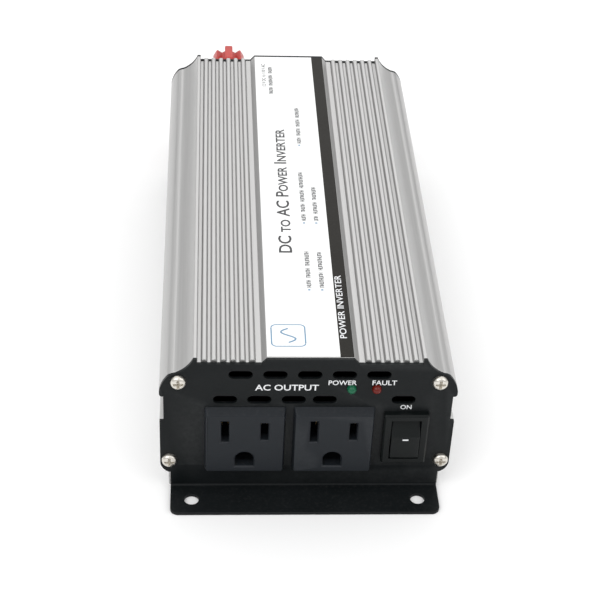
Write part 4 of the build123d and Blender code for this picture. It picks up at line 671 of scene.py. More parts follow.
FLAT_ANGLE = math.radians(0.5)
ROUNDED_ANGLE = math.radians(28.0)


def node_mesh(node: str) -> bmesh.types.BMesh:
    """A CAD node's mesh, ready for editing, with its doubled points merged."""
    work = bmesh.new()
    work.from_mesh(bpy.data.objects[node].data)
    bmesh.ops.remove_doubles(work, verts=work.verts, dist=2e-6)
    return work


def refined(name: str, node: str, bevel: float, segments: int) -> Piece:
    """A copy of a CAD node with its flat faces merged and its edges rounded.

    Args:
        name: The new piece's name.
        node: The CAD node.
        bevel: How wide each edge is rounded, in metres.
        segments: Faces across each rounded edge.

    Returns:
        The new object, with live Bevel and Weighted Normal modifiers.
    """
    work = node_mesh(node)
    bmesh.ops.dissolve_limit(work, angle_limit=FLAT_ANGLE, verts=work.verts, edges=work.edges)
    work.verts.index_update()
    points = np.array([vert.co for vert in work.verts])
    faces = [[vert.index for vert in face.verts] for face in work.faces]
    work.free()
    piece = make_object(name, mesh_from(name, points, faces))
    rounding = piece.modifiers.new("rounded edges", "BEVEL")
    rounding.width = bevel
    rounding.segments = segments
    rounding.limit_method = "ANGLE"
    rounding.angle_limit = ROUNDED_ANGLE
    rounding.use_clamp_overlap = True
    rounding.face_strength_mode = "FSTR_ALL"
    shading = piece.modifiers.new("flat faces shaded flat", "WEIGHTED_NORMAL")
    shading.use_face_influence = True
    shading.weight = 100
    return piece


def solids(node: str) -> list[tuple[Vector, Vector]]:
    """The box of each separate solid of a CAD node, in order of z and then x."""
    work = node_mesh(node)
    left = set(work.verts)
    found_boxes = []
    while left:
        front = [left.pop()]
        found = list(front)
        while front:
            near = {edge.other_vert(vert) for vert in front for edge in vert.link_edges} & left
            left -= near
            front = list(near)
            found += front
        points = np.array([vert.co for vert in found])
        found_boxes.append((Vector(points.min(axis=0)), Vector(points.max(axis=0))))
    work.free()
    return sorted(found_boxes, key=lambda box: (round(box[0].z, 4), round(box[0].x, 4)))


def lettering(name: str, text: str, height: float, length: float, bold: float = 0.0) -> Mesh:
    """Flat lettering as a thin mesh, centred on the origin. Lower-case letters become small capitals.

    Args:
        name: The mesh's name.
        text: The words.
        height: Height of a capital.
        length: Length of the whole line.
        bold: How far the strokes are thickened, as a share of the letters' size.

    Returns:
        The mesh.
    """
    curve = bpy.data.curves.new(name, "FONT")
    curve.body = text
    curve.align_x = curve.align_y = "CENTER"
    curve.offset = bold
    curve.extrude = 0.008
    curve.resolution_u = 3
    curve.small_caps_scale = 0.74
    for letter in curve.body_format:
        letter.use_small_caps = True
    holder = linked(name, curve)
    bpy.context.view_layer.update()
    mesh = bpy.data.meshes.new_from_object(holder)
    bpy.data.objects.remove(holder)
    bpy.data.curves.remove(curve)
    points = np.array([vert.co for vert in mesh.vertices])
    low, high = points.min(axis=0), points.max(axis=0)
    across, up = length / (high[0] - low[0]), height / (high[1] - low[1])
    points = (points - (low + high) / 2) * (across, up, up)
    mesh.vertices.foreach_set("co", points.astype(np.float32).ravel())
    return mesh


BOX_CORNERS = np.array([[x, y, z] for z in (0, 1) for x, y in ((0, 0), (1, 0), (1, 1), (0, 1))])
BOX_QUADS = np.array([(3, 2, 1, 0), (4, 5, 6, 7), (0, 1, 5, 4), (1, 2, 6, 5), (2, 3, 7, 6), (3, 0, 4, 7)])


def boxes(name: str, lows: np.ndarray, highs: np.ndarray) -> Mesh:
    """Many separate boxes as one mesh, from their lower and upper corners."""
    points = lows[:, None] + (highs - lows)[:, None] * BOX_CORNERS[None]
    faces = BOX_QUADS[None] + 8 * np.arange(len(lows))[:, None, None]
    return mesh_from(name, points.reshape(-1, 3), faces.reshape(-1, 4).tolist(), 0.0)


def placed(mesh: Mesh, right: Vector, up: Vector, at: Vector) -> Mesh:
    """Turns a flat mesh so that its X and Y run along right and up, and moves it to a point."""
    out = right.cross(up)
    turn = Matrix((right, up, out)).transposed().to_4x4()
    mesh.transform(Matrix.Translation(at) @ turn)
    return mesh


# ------------------------------------------------------------------------------------------ sub-assemblies
@dataclass
class Case:
    """The two aluminium extrusions, with rounded ribs and edges as the die leaves them."""

    plateau_half: float = 13.8 * MM
    ramp: float = 1.6 * MM
    land_drop: float = 1.9 * MM
    land_width: float = 1.85 * MM
    valley_drop: float = 0.3 * MM
    rib_start: float = 0.1 * MM
    rib_pitch: float = 3.0 * MM
    rib_height: float = 1.5 * MM
    rib_tip: float = 1.35 * MM
    rib_base: float = 2.0 * MM
    crest_inset: float = 10.8 * MM
    crest_width: float = 1.2 * MM
    crest_drop: float = 0.1 * MM
    notch_inset: float = 5.0 * MM
    notch_drop: float = 6.1 * MM
    hollow_sag: float = 0.8 * MM
    hump_width: float = 2.1 * MM
    hump_fall: float = 0.8 * MM
    hump_sag: float = 0.15 * MM
    flank_sag: float = 0.5 * MM
    flank_drop: float = 13.1 * MM
    lip: float = 1.0 * MM
    groove_top_drop: float = 15.3 * MM
    groove_depth: float = 1.3 * MM
    wall: float = 1.8 * MM
    end_bevel: float = 0.12 * MM
    lower_edge: float = 0.25 * MM

    def upper_half(self, half: float, top: float, seam: float) -> tuple[np.ndarray, np.ndarray]:
        """The right half of the upper outline.

        The ribs repeat at the pitch. The shoulder is three arcs: a hollow below the crest, a small hump, and
        the flank down to the lip over the side groove.

        Args:
            half: Half the case's width.
            top: Height of the plateau.
            seam: Height of the seam with the lower extrusion.

        Returns:
            The corners from the plateau's middle to the middle of the ceiling, and a radius for each.
        """
        land = top - self.land_drop
        valley = land - self.valley_drop
        crest_x, crest_z = half - self.crest_inset, top - self.crest_drop
        foot = self.plateau_half + self.ramp
        land_end = foot + self.land_width
        points = [(self.plateau_half, top, 0.5), (foot, land, 0.4), (land_end, land, 0.12),
                  (land_end, valley, 0.04)]
        tip, half_tip, half_base = valley + self.rib_height, self.rib_tip / 2, self.rib_base / 2
        rib, foot_radius = land_end + self.rib_start + half_base, 0.05
        while rib + half_base <= crest_x - self.crest_width:
            points += [(rib - half_base, valley, foot_radius), (rib - half_tip, tip, 0.4),
                       (rib + half_tip, tip, 0.4), (rib + half_base, valley, 0.2)]
            rib, foot_radius = rib + self.rib_pitch, 0.2
        points += [(crest_x - self.crest_width, valley, 0.2), (crest_x - self.crest_width, crest_z, 0.3),
                   (crest_x, crest_z, 0.35)]
        crest = np.array([crest_x, crest_z])
        notch = np.array([half - self.notch_inset, top - self.notch_drop])
        hump = notch + (self.hump_width, -self.hump_fall)
        flank = np.array([half, top - self.flank_drop])
        curves = (arc_points(crest, notch, -self.hollow_sag, 11), arc_points(notch, hump, self.hump_sag, 9),
                  arc_points(hump, flank, self.flank_sag, 11))
        points += [(x, z, 0.0) for x, z in np.vstack(curves)]
        groove_top = top - self.groove_top_drop
        groove_x = half - self.groove_depth
        inner_x = groove_x - self.wall
        ceiling = valley - self.wall
        points += [(half, groove_top, self.lip / MM), (groove_x, groove_top, 0.15), (groove_x, seam, 0.15),
                   (inner_x, seam, 0.1),
                   (inner_x, groove_top, 0.3), (inner_x - 6.0 * MM, top - 13.0 * MM, 0.3),
                   (inner_x - 7.0 * MM, ceiling, 0.3)]
        table = np.array(points)
        return table[:, :2], table[:, 2] * MM

    def build(self, shop: Workshop) -> None:
        """Builds the upper extrusion from its outline, and rounds the lower one."""
        low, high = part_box("top_case")
        corners, radii = self.upper_half(high.x, high.z, low.z)
        other = corners[::-1] * (-1.0, 1.0)
        outline = filleted(np.vstack([corners, other]), np.concatenate([radii, radii[::-1]]))
        stations = np.array([(low.y, self.end_bevel), (low.y + self.end_bevel, 0.0),
                             (high.y - self.end_bevel, 0.0), (high.y, self.end_bevel)])
        upper = drawn_along_y("upper_extrusion", outline, stations)
        shop.add("upper_extrusion", upper, ALUMINIUM, "top_case", smooth_angle=28.0)
        shop.add_rounded("lower_extrusion", "bottom_case", ALUMINIUM, self.lower_edge)


@dataclass
class Panels:
    """The two bent steel end panels."""

    edge: float = 0.22 * MM

    def build(self, shop: Workshop) -> None:
        """Rounds the edges of both pressings."""
        for node in ("front_panel", "back_panel"):
            shop.add_rounded(node + "_pressing", node, POWDER_COAT, self.edge)


@dataclass
class PanHead:
    """A pan-head screw with a cross recess, along Y."""

    radius: float = 2.6 * MM
    height: float = 1.7 * MM
    arm_length: float = 1.5 * MM
    arm_half: float = 0.36 * MM
    recess_depth: float = 1.15 * MM
    recess_slope: float = 0.34 * MM
    lines: int = 33

    def head(self, name: str, centre: Pair, face: float, outward: float) -> Mesh:
        """The head as a height over a disc.

        A square grid becomes a disc by x = u sqrt(1 - v²/2), y = v sqrt(1 - u²/2). The height is that of a
        flattened dome, H (1 - r⁵)^½, less the recess, which deepens with the distance inside the cross.

        Args:
            name: The mesh's name.
            centre: X and Z of the axis.
            face: Y of the surface that the head sits on.
            outward: -1 where the head faces -Y, 1 where it faces +Y.

        Returns:
            The mesh.
        """
        step = np.linspace(-1.0, 1.0, self.lines)
        u, v = np.meshgrid(step, step, indexing="ij")
        x = u * np.sqrt(1 - v**2 / 2)
        z = v * np.sqrt(1 - u**2 / 2)
        r = np.clip(np.hypot(x, z), 0.0, 1.0)
        dome = self.height * np.sqrt(np.clip(1 - r**5, 0.0, 1.0))
        across, up = np.abs(x) * self.radius, np.abs(z) * self.radius
        inside = np.maximum(np.minimum(self.arm_half - up, self.arm_length - across),
                            np.minimum(self.arm_half - across, self.arm_length - up))
        depth = self.recess_depth * np.clip(inside / self.recess_slope + 0.25, 0.0, 1.0)
        height = np.maximum(dome - depth, 0.0)
        x, z = centre[0] + x * self.radius, centre[1] + z * self.radius
        top = np.stack([x, face + outward * height, z], axis=-1)
        bottom = np.stack([x, np.full_like(x, face), z], axis=-1)
        faces = np.vstack([grid_faces(self.lines, self.lines, False, start) for start in (0, self.lines**2)])
        return mesh_from(name, np.stack([top, bottom]), faces.tolist())


@dataclass
class PanelScrews:
    """The screws of both panels and of the fan."""

    fan_head_radius: float = 2.8 * MM
    fan_head_height: float = 1.8 * MM
    shank_radius: float = 1.4 * MM

    def build(self, shop: Workshop) -> None:
        """Puts a cross-recessed head where each CAD screw stands."""
        fan_head = PanHead(radius=self.fan_head_radius, height=self.fan_head_height)
        jobs = (("front_panel_screws", -1.0, PanHead()), ("back_panel_screws", 1.0, PanHead()),
                ("fan_screws", 1.0, fan_head))
        for node, outward, head in jobs:
            meshes = []
            for low, high in solids(node):
                centre = axis_in(low, high)
                tip, end = (low.y, high.y) if outward < 0 else (high.y, low.y)
                face = tip - outward * head.height
                shank = np.array([(0.0, face), (self.shank_radius, face),
                                  (self.shank_radius, end + outward * MM), (0.0, end)])
                meshes += [head.head("head", centre, face, outward), turned("shank", centre, shank, 20)]
            shop.add(node.replace("screws", "cross_heads"), joined(node, meshes), NICKEL, node)


@dataclass
class Label:
    """The printed film on the plateau, with plain generic graphics."""

    edge: float = 0.06 * MM
    lift: float = 0.012 * MM
    ink: float = 0.016 * MM
    badge_at: Pair = (-6.7 * MM, 10.4 * MM)
    badge_half: float = 5.4 * MM
    badge_corner: float = 1.6 * MM
    badge_line: float = 0.22 * MM
    badge_flatness: float = 0.05
    wave_half: float = 2.3 * MM
    wave_length: float = 7.0 * MM
    wave_line: float = 0.3 * MM
    stroke: float = 0.26 * MM
    letter: float = 0.95 * MM
    pitch: float = 1.32 * MM
    tightness: float = 0.78
    row_height: float = 1.5 * MM

    def build(self, shop: Workshop) -> None:
        """Prints the badge, the title and the small lines on the film.

        Each row has its name and words, the letters' height, the line's length, its X and its middle along
        the label, all in millimetres, then its ink and how far the strokes are thickened.
        """
        shop.add_rounded("label_sheet", "label_plate", LABEL_FILM, self.edge)
        low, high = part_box("label_plate")
        self.top = high.z + self.lift
        self.front = low.y
        self.badge(shop, Vector((self.badge_at[0], self.front + self.badge_at[1], self.top)))
        rows = (("title", "DC to AC Power Inverter", 4.6, 79.0, -5.9, 94.3, DARK_INK, 0.012),
                ("rating", "12 V DC to 110 V AC", 1.5, 17.5, -10.4, 174.6, DARK_INK, 0.01),
                ("stripe", "POWER INVERTER", 2.2, 33.0, 10.9, 25.6, WHITE_INK, 0.006))
        for name, text, height, length, x, along, ink, bold in rows:
            mesh = lettering(name, text, height * MM, length * MM, bold)
            at = Vector((x * MM, self.front + along * MM, self.top))
            shop.add(f"label_{name}_words", placed(mesh, Vector((0, 1, 0)), Vector((-1, 0, 0)), at), ink)
        self.small_lines(shop)

    def badge(self, shop: Workshop, at: Vector) -> None:
        """A rounded frame with one period of a sine wave: x = a sin(2 pi y / length)."""
        square = np.array([(-1, -1), (1, -1), (1, 1), (-1, 1)], float) * self.badge_half
        edge = filleted(square, np.full(4, self.badge_corner), 8)
        path = np.column_stack([edge[:, 0] + at.x, edge[:, 1] + at.y, np.full(len(edge), at.z)])
        frame = tube("frame", path, self.badge_line, True, 8)
        share = np.linspace(-0.5, 0.5, 41)
        wave = np.column_stack([at.x - self.wave_half * np.sin(2 * np.pi * share),
                                at.y + share * self.wave_length, np.full(41, at.z)])
        mesh = joined("label_badge", [frame, tube("wave", wave, self.wave_line, False, 8)])
        points = np.array([vert.co for vert in mesh.vertices])
        points[:, 2] = at.z + (points[:, 2] - at.z) * self.badge_flatness
        mesh.vertices.foreach_set("co", points.astype(np.float32).ravel())
        shop.add("label_badge", mesh, BLUE_INK)

    def small_lines(self, shop: Workshop) -> None:
        """Rows of plain strokes in place of small print, all but the last with a blue bullet.

        Every mark is two uprights with a bar between them, whose height goes through three places in turn.
        Each row has its X and its start along the label in millimetres, and how many marks each word has.
        """
        rows = ((1.9, 35.4, (4, 5, 8)), (6.2, 35.4, (8, 10)), (1.9, 73.6, (4, 5, 7, 10)),
                (6.2, 73.6, (3, 7, 8)), (2.4, 124.0, (4, 5, 5, 7)), (-7.0, 160.0, (5, 8, 5)))
        lows, highs, bullets = [], [], []
        inner = self.letter - self.stroke
        for base, start, words in rows:
            along, x = self.front + start * MM, base * MM
            bullets.append((x - 0.75 * self.row_height, along - 1.6 * MM))
            for word in words:
                for letter in range(word):
                    bar = x - self.row_height * (0.12, 0.55, 0.98)[(letter * 2 + word) % 3]
                    for begin, end, near, far in ((0.0, self.stroke, x, x - self.row_height),
                                                  (inner, self.letter, x, x - self.row_height),
                                                  (self.stroke, inner, bar + self.stroke, bar)):
                        lows.append((far, along + begin, self.top))
                        highs.append((near, along + end, self.top + self.ink))
                    along += self.pitch * self.tightness
                along += self.pitch
        shop.add("label_small_print", boxes("small_print", np.array(lows), np.array(highs)), GREY_INK)
        corner = np.column_stack([np.array(bullets[:-1]), np.full(len(bullets) - 1, self.top)])
        size = (0.5 * self.row_height, 0.7 * MM, self.ink)
        shop.add("label_bullets", boxes("bullets", corner, corner + size), BLUE_INK)


@dataclass
class Outlets:
    """The two moulded AC outlets."""

    edge: float = 0.35 * MM

    def build(self, shop: Workshop) -> None:
        """Rounds the edges of each housing."""
        for side in ("left_outlet", "right_outlet"):
            shop.add_rounded(side + "_moulding", side + "_housing", OUTLET_PLASTIC, self.edge, 3)


@dataclass
class RockerSwitch:
    """The rocker switch: its bezel, and the paddle with a white mark."""

    edge: float = 0.3 * MM
    slope: float = math.radians(10.5)
    swing: float = 8.0 * MM
    ridge: float = 4.2 * MM
    ridge_rise: float = 1.2 * MM
    back: float = 4.9 * MM
    half_width: float = 4.6 * MM
    side_bevel: float = 0.35 * MM
    pin_radius: float = 1.2 * MM
    mark_drop: float = 1.1 * MM
    mark_half: float = 0.95 * MM
    mark_reach: float = 0.28 * MM
    mark_ink: Pair = (-0.05 * MM, 0.03 * MM)

    def build(self, shop: Workshop) -> None:
        """Builds the bezel, the paddle and its mark."""
        shop.add_rounded("switch_bezel", "switch_housing", SWITCH_PLASTIC, self.edge, 3)
        pivot = pivot_of("rocker_tilt")
        low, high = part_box("switch_rocker")
        self.paddle(shop, pivot, (high.x - low.x) / 2)
        self.mark(shop, pivot)

    def leaning(self, flat: np.ndarray, pivot: Vector) -> np.ndarray:
        """Points of (y, z) about the pivot, turned by the slope to the paddle's place at rest."""
        cos, sin = math.cos(self.slope), math.sin(self.slope)
        return flat @ np.array([[cos, -sin], [sin, cos]]) + (pivot.y, pivot.z)

    def paddle(self, shop: Workshop, pivot: Vector, pin_reach: float) -> None:
        """The paddle: two slopes that meet in a soft ridge, with ends round about the pivot.

        The outline in (y, z) is the ridge a little above the pivot, slopes back at the slope's angle until
        they meet the swing circle, follows that circle, and ends in a flat back.
        """
        rise = math.tan(self.slope)
        last = math.atan2(math.sqrt(self.swing**2 - self.back**2), self.back)
        ends = []
        for way in (1.0, -1.0):
            # where the slope y = -ridge + rise (z - h), h being the ridge's height, meets y² + z² = swing²
            start = -self.ridge - rise * way * self.ridge_rise
            a, b, c = 1 + rise**2, 2 * start * rise, start**2 - self.swing**2
            z = (-b + math.sqrt(b * b - 4 * a * c)) / (2 * a)
            arc = np.linspace(math.atan2(z, start + rise * z), last, 12)
            ends.append(self.swing * np.column_stack([np.cos(arc), way * np.sin(arc)]))
        corners = np.vstack([[(-self.ridge, self.ridge_rise)], ends[0], ends[1][::-1]])
        radii = np.zeros(len(corners))
        radii[0], radii[1], radii[-1] = 0.8 * MM, 0.25 * MM, 0.25 * MM
        outline = self.leaning(filleted(corners, radii, 7), pivot)
        body = bar_along_x("paddle", outline, pivot.x - self.half_width, pivot.x + self.half_width,
                           self.side_bevel)
        side = np.array([(0.0, -pin_reach), (self.pin_radius, -pin_reach), (self.pin_radius, pin_reach),
                         (0.0, pin_reach)])
        pin = turned("pin", (0.0, 0.0), side, 24)
        pin.transform(Matrix.Translation(pivot) @ Matrix.Rotation(math.radians(90), 4, "Z"))
        shop.add("switch_paddle", joined("switch_paddle", [body, pin]), SWITCH_PLASTIC, "switch_rocker",
                 body="switch_rocker")

    def mark(self, shop: Workshop, pivot: Vector) -> None:
        """The short white dash that is printed just below the ridge."""
        right, up, out = BOX_CORNERS.T
        z = self.ridge_rise - self.mark_drop + (2 * up - 1) * self.mark_reach
        fall = math.tan(self.slope) * (self.ridge_rise - z)
        y = -self.ridge + fall - np.where(out == 0, *self.mark_ink)
        flat = self.leaning(np.column_stack([y, z]), pivot)
        points = np.column_stack([(2 * right - 1) * self.mark_half + pivot.x, flat])
        mesh = mesh_from("switch_mark", points, BOX_QUADS.tolist())
        shop.add("switch_mark", mesh, WHITE_INK, body="switch_rocker")


@dataclass
class Lamps:
    """The power lamp and the fault lamp."""

    rim: float = 0.4 * MM
    flange: float = 1.0 * MM

    def build(self, shop: Workshop) -> None:
        """Turns each lamp: a flange behind the panel, a barrel, and a round nose, y = r sin t."""
        for node, finish in (("power_lamp", GREEN_LENS), ("fault_lamp", RED_LENS)):
            low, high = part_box(node)
            radius = (high.x - low.x) / 2 - self.rim
            angle = np.linspace(0.0, np.pi / 2, 12)
            nose = np.column_stack([radius * np.sin(angle), low.y + radius * (1 - np.cos(angle))])
            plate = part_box("bottom_case")[0].y
            back, wide = plate + self.flange, radius + self.rim
            rest = np.array([(radius, plate), (wide, plate), (wide, back), (radius, back), (radius, high.y),
                             (0.0, high.y)])
            mesh = turned(node, axis_in(low, high), np.vstack([nose, rest]), 40)
            shop.add(node + "_lens", mesh, finish, node)


@dataclass
class Legends:
    """The plain printed legends on the front panel."""

    lift: float = 0.02 * MM
    panel: float = 1.2 * MM

    def build(self, shop: Workshop) -> None:
        """Prints each word at its place.

        Each row has its name and words, the letters' height, the word's length, its X and its drop below the
        label, all in millimetres, and how far the strokes are thickened.
        """
        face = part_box("top_case")[0].y - self.panel - self.lift
        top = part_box("label_plate")[0].z
        rows = (("output", "AC OUTPUT", 2.45, 20.2, -7.15, 11.4, 0.014),
                ("power", "POWER", 1.95, 9.0, 10.45, 9.35, 0.012),
                ("fault", "FAULT", 1.95, 7.8, 23.8, 9.35, 0.012), ("on", "ON", 1.8, 3.6, 31.4, 19.65, 0.012))
        for name, text, height, length, x, drop, bold in rows:
            mesh = lettering(name, text, height * MM, length * MM, bold)
            at = Vector((x * MM, face, top - drop * MM))
            shop.add("legend_" + name, placed(mesh, Vector((1, 0, 0)), Vector((0, 0, 1)), at), WHITE_INK)


@dataclass
class Terminals:
    """The DC terminals: bush, threaded stud, washer and toothed knob."""

    teeth: int = 6
    core: float = 0.65
    tooth_share: float = 0.54
    flank_share: float = 0.1
    skirt: float = 5.6 * MM
    stud_radius: float = 3.0 * MM
    thread_pitch: float = 1.0 * MM
    thread_depth: float = 0.35 * MM
    bush_edge: float = 0.3 * MM
    washer_edge: float = 0.12 * MM

    def build(self, shop: Workshop) -> None:
        """Builds both terminals, one red and one black."""
        for name, finish in (("positive", RED_PLASTIC), ("negative", BLACK_PLASTIC)):
            self.knob(shop, name, finish)
            shop.add_rounded(name + "_collar_bush", name + "_bush", finish, self.bush_edge, 3)
            shop.add_rounded(name + "_plain_washer", name + "_washer", NICKEL, self.washer_edge,
                             body=name + "_washer")
        self.studs(shop)

    def knob(self, shop: Workshop, name: str, finish: Finish) -> None:
        """The knob as a radius over angle and length.

        Round the knob the radius steps between the teeth's tops and the core, with a smooth step
        s² (3 - 2 s) at each side of a tooth. A tooth's top is flat in its middle: its radius is
        R cos (b / 2) / cos t, at most R, t being the angle from its middle and b half its width. Along the
        knob the teeth rise from the round skirt, and the end closes flat.
        """
        low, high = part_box(name + "_knob")
        outer = (high.z - low.z) / 2
        sector = 2 * np.pi / self.teeth
        angle = np.linspace(0.0, 2 * np.pi, self.teeth * 32, endpoint=False)
        off = np.abs((angle - np.pi / 2 + sector / 2) % sector - sector / 2)
        tooth, flank = self.tooth_share * sector / 2, self.flank_share * sector / 2
        step = np.clip((tooth + flank - off) / (2 * flank), 0.0, 1.0)
        top = outer / np.cos(np.minimum(off, tooth)) * np.cos(tooth * 0.5)
        core = outer * self.core
        toothed = core + (np.minimum(top, outer) - core) * step**2 * (3 - 2 * step)
        # each ring's place along the knob, its share of the teeth over the skirt, and its width
        rows = ((0.0, 0.0, 0.0), (0.0, 0.0, 0.93), (0.02, 0.0, 1.0), (0.12, 0.0, 1.0), (0.15, 0.25, 0.97),
                (0.18, 0.7, 0.95), (0.22, 0.95, 0.98), (0.27, 1.0, 1.0), (0.6, 1.0, 0.995),
                (0.93, 1.0, 0.985), (0.975, 1.0, 0.965), (0.995, 1.0, 0.93), (1.0, 1.0, 0.88),
                (1.0, 1.0, 0.45), (0.99, 1.0, 0.38), (0.99, 1.0, 0.0))
        along, toothing, width = np.array(rows).T[:, :, None]
        radius = width * ((1 - toothing) * self.skirt + toothing * toothed)
        # the middle of the end is round, whatever the teeth do outside it
        radius = np.where(width < 0.6, width * core, radius)
        mesh = lofted(name, about_y(axis_in(low, high), radius, angle, low.y + along * (high.y - low.y)))
        shop.add(name + "_toothed_knob", mesh, finish, name + "_knob", body=name + "_knob", smooth_angle=50.0)

    def studs(self, shop: Workshop) -> None:
        """The two studs, each a helical thread with a plain collar against its bush."""
        meshes = []
        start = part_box("positive_bush")[1].y
        collar = np.array([(0.0, 0.0), (5.1, 0.0), (5.4, 0.25), (5.4, 1.25), (5.1, 1.5), (0.0, 1.5)]) * MM
        for low, high in solids("terminal_studs"):
            centre = axis_in(low, high)
            rod = threaded_rod(centre, self.stud_radius, low.y, high.y, self.thread_pitch, self.thread_depth)
            meshes += [rod, turned("collar", centre, collar + (0.0, start), 48)]
        shop.add("threaded_studs", joined("studs", meshes), BRASS, "terminal_studs")


def threaded_rod(centre: Pair, radius: float, low: float, high: float, pitch: float, depth: float) -> Mesh:
    """A rod along Y with a helical thread.

    The radius at y and angle t is r0 less the depth times a triangle wave of y / pitch - t / 2 pi, and it
    shrinks at both ends as on a cut thread.

    Args:
        centre: X and Z of the axis.
        radius: The thread's outer radius.
        low: Y of one end.
        high: Y of the other end.
        pitch: The thread's pitch.
        depth: The thread's depth.

    Returns:
        The mesh.
    """
    rows = int((high - low) / pitch * 8) + 1
    y = np.linspace(low, high, rows)[:, None]
    angle = np.linspace(0.0, 2 * np.pi, 24, endpoint=False)[None]
    wave = np.abs(((y / pitch - angle / (2 * np.pi)) % 1.0) * 2 - 1)
    taper = np.clip(np.minimum(y - low, high - y) / (0.8 * pitch), 0.0, 1.0)
    size = (radius - depth * wave) * (0.82 + 0.18 * taper)
    return lofted("thread", about_y(centre, size, angle, y))


@dataclass
class Fan:
    """The cooling fan: its frame, its rotor and its wire guard."""

    blades: int = 7
    hub_radius: float = 11.0 * MM
    tip_radius: float = 18.4 * MM
    hub_length: float = 14.0 * MM
    blade_span: float = 10.0 * MM
    blade_thickness: float = 0.9 * MM
    blade_lean: float = math.radians(52.0)
    blade_bow: float = 1.6 * MM
    bearing_radius: float = 1.5 * MM
    frame_edge: float = 0.3 * MM
    wire: float = 0.8 * MM
    rings: tuple[float, ...] = (6.5 * MM, 10.5 * MM, 14.5 * MM, 18.5 * MM)
    eye_radius: float = 2.2 * MM
    eye_share: float = 0.84

    def build(self, shop: Workshop) -> None:
        """Builds the rotor and the guard, and rounds the frame."""
        shop.add_rounded("fan_housing", "fan_frame", FAN_PLASTIC, self.frame_edge)
        pivot = pivot_of("fan_spin")
        centre = (pivot.x, pivot.z)
        self.rotor(shop, centre)
        self.guard(shop, centre)

    def rotor(self, shop: Workshop, centre: Pair) -> None:
        """The rotor: a turned hub, and blades whose section is carried from the hub to the tip.

        A blade's point at radius r and chord share s, from -1/2 to 1/2, lies at angle
        a0 + lean s (0.55 + 0.45 r / R), and y follows s. The section bows out by a parabola, 1/4 - s², and
        thins to both edges.
        """
        low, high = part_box("fan_rotor")
        front, back, radius, shaft = high.y, high.y - self.hub_length, self.hub_radius, self.bearing_radius
        dent, floor = front - 0.25 * MM, front - 1.8 * MM
        hub = np.array([(0.0, front), (radius * 0.3, front), (radius * 0.32, dent), (radius * 0.62, dent),
                        (radius * 0.64, front), (radius - 1.4 * MM, front),
                        (radius - 0.5 * MM, front - 0.35 * MM), (radius, front - 1.2 * MM), (radius, back),
                        (radius - 1.5 * MM, back), (radius - 1.5 * MM, floor), (shaft, floor),
                        (shaft, low.y), (0.0, low.y)])
        meshes = [turned("hub", centre, hub, 64)]
        middle = (front + back) / 2
        radii = np.linspace(self.hub_radius - 0.4 * MM, self.tip_radius, 9)[:, None]
        turn = np.linspace(0.0, 2 * np.pi, 28, endpoint=False)[None]
        share = 0.5 * np.cos(turn)
        thick = np.sin(turn) * self.blade_thickness / 2 * np.sqrt(np.clip(1 - (2 * share) ** 4, 0.02, 1.0))
        bow = (0.25 - share**2) * self.blade_bow
        lean = self.blade_lean * (0.55 + 0.45 * radii / self.tip_radius)
        y = middle - share * self.blade_span * np.ones_like(radii)
        for i in range(self.blades):
            angle = 2 * np.pi * i / self.blades + lean * share + (thick + bow) / radii
            meshes.append(lofted("blade", about_y(centre, radii, angle, y)))
        shop.add("fan_impeller", joined("rotor", meshes), FAN_PLASTIC, "fan_rotor", body="fan_rotor",
                 smooth_angle=40.0)

    def guard(self, shop: Workshop, centre: Pair) -> None:
        """The guard: hoops on four spokes, each spoke's wire bent round its screw in an eye.

        A spoke runs straight behind the hoops and drops to the panel in its last two steps.
        """
        low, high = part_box("fan_guard")
        hoop_y, spoke_y = high.y - self.wire, low.y + self.wire
        angle = np.linspace(0.0, 2 * np.pi, 72, endpoint=False)
        meshes = []
        for radius in self.rings:
            meshes.append(tube("hoop", about_y(centre, radius, angle, hoop_y), self.wire, True))
        turn = np.linspace(-self.eye_share, self.eye_share, 25)[:, None] * np.pi
        rise = np.array([hoop_y - 1.6 * self.wire] * 4 + [hoop_y - 1.8 * self.wire, spoke_y])
        rise = np.maximum(rise, spoke_y)
        for low, high in solids("fan_screws"):
            screw = np.array(axis_in(low, high))
            distance = np.linalg.norm(screw - centre)
            away = (screw - centre) / distance
            side = np.array([-away[1], away[0]])
            eye = screw + self.eye_radius * (np.cos(turn) * away + np.sin(turn) * side)
            root = np.array(centre) + away * (self.rings[0] - self.wire)
            reach = distance - self.rings[0] - self.eye_radius - self.wire
            spoke = root + away * reach * np.linspace(0.0, 1.0, 6)[:, None]
            for flat, along in ((spoke, rise), (eye, np.full(len(eye), spoke_y))):
                path = np.column_stack([flat[:, 0], along, flat[:, 1]])
                meshes.append(tube("spoke", path, self.wire))
        shop.add("wire_guard", joined("guard", meshes), GUARD_WIRE, "fan_guard", smooth_angle=50.0)


@dataclass
class GroundScrew:
    """The chassis ground screw with its nuts and washer."""

    radius: float = 2.0 * MM
    pitch: float = 0.7 * MM
    depth: float = 0.25 * MM
    head_height: float = 2.5 * MM
    overlap: float = 0.1 * MM
    nut_edge: float = 0.3 * MM
    washer_edge: float = 0.12 * MM

    def build(self, shop: Workshop) -> None:
        """Threads the screw, and rounds the nuts and the washer."""
        low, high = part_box("ground_screw")
        centre = axis_in(low, high)
        top = self.head_height
        head = np.array([(0.0, 0.0), (3.3 * MM, 0.0), (3.8 * MM, 0.5 * MM), (3.8 * MM, top), (0.0, top)])
        rod = threaded_rod(centre, self.radius, low.y + top - self.overlap, high.y, self.pitch, self.depth)
        meshes = [turned("head", centre, head + (0.0, low.y), 40), rod]
        shop.add("threaded_ground_screw", joined("ground", meshes), NICKEL, "ground_screw")
        shop.add_rounded("ground_hex_nuts", "ground_nuts", NICKEL, self.nut_edge)
        shop.add_rounded("ground_plain_washer", "ground_washer", NICKEL, self.washer_edge)


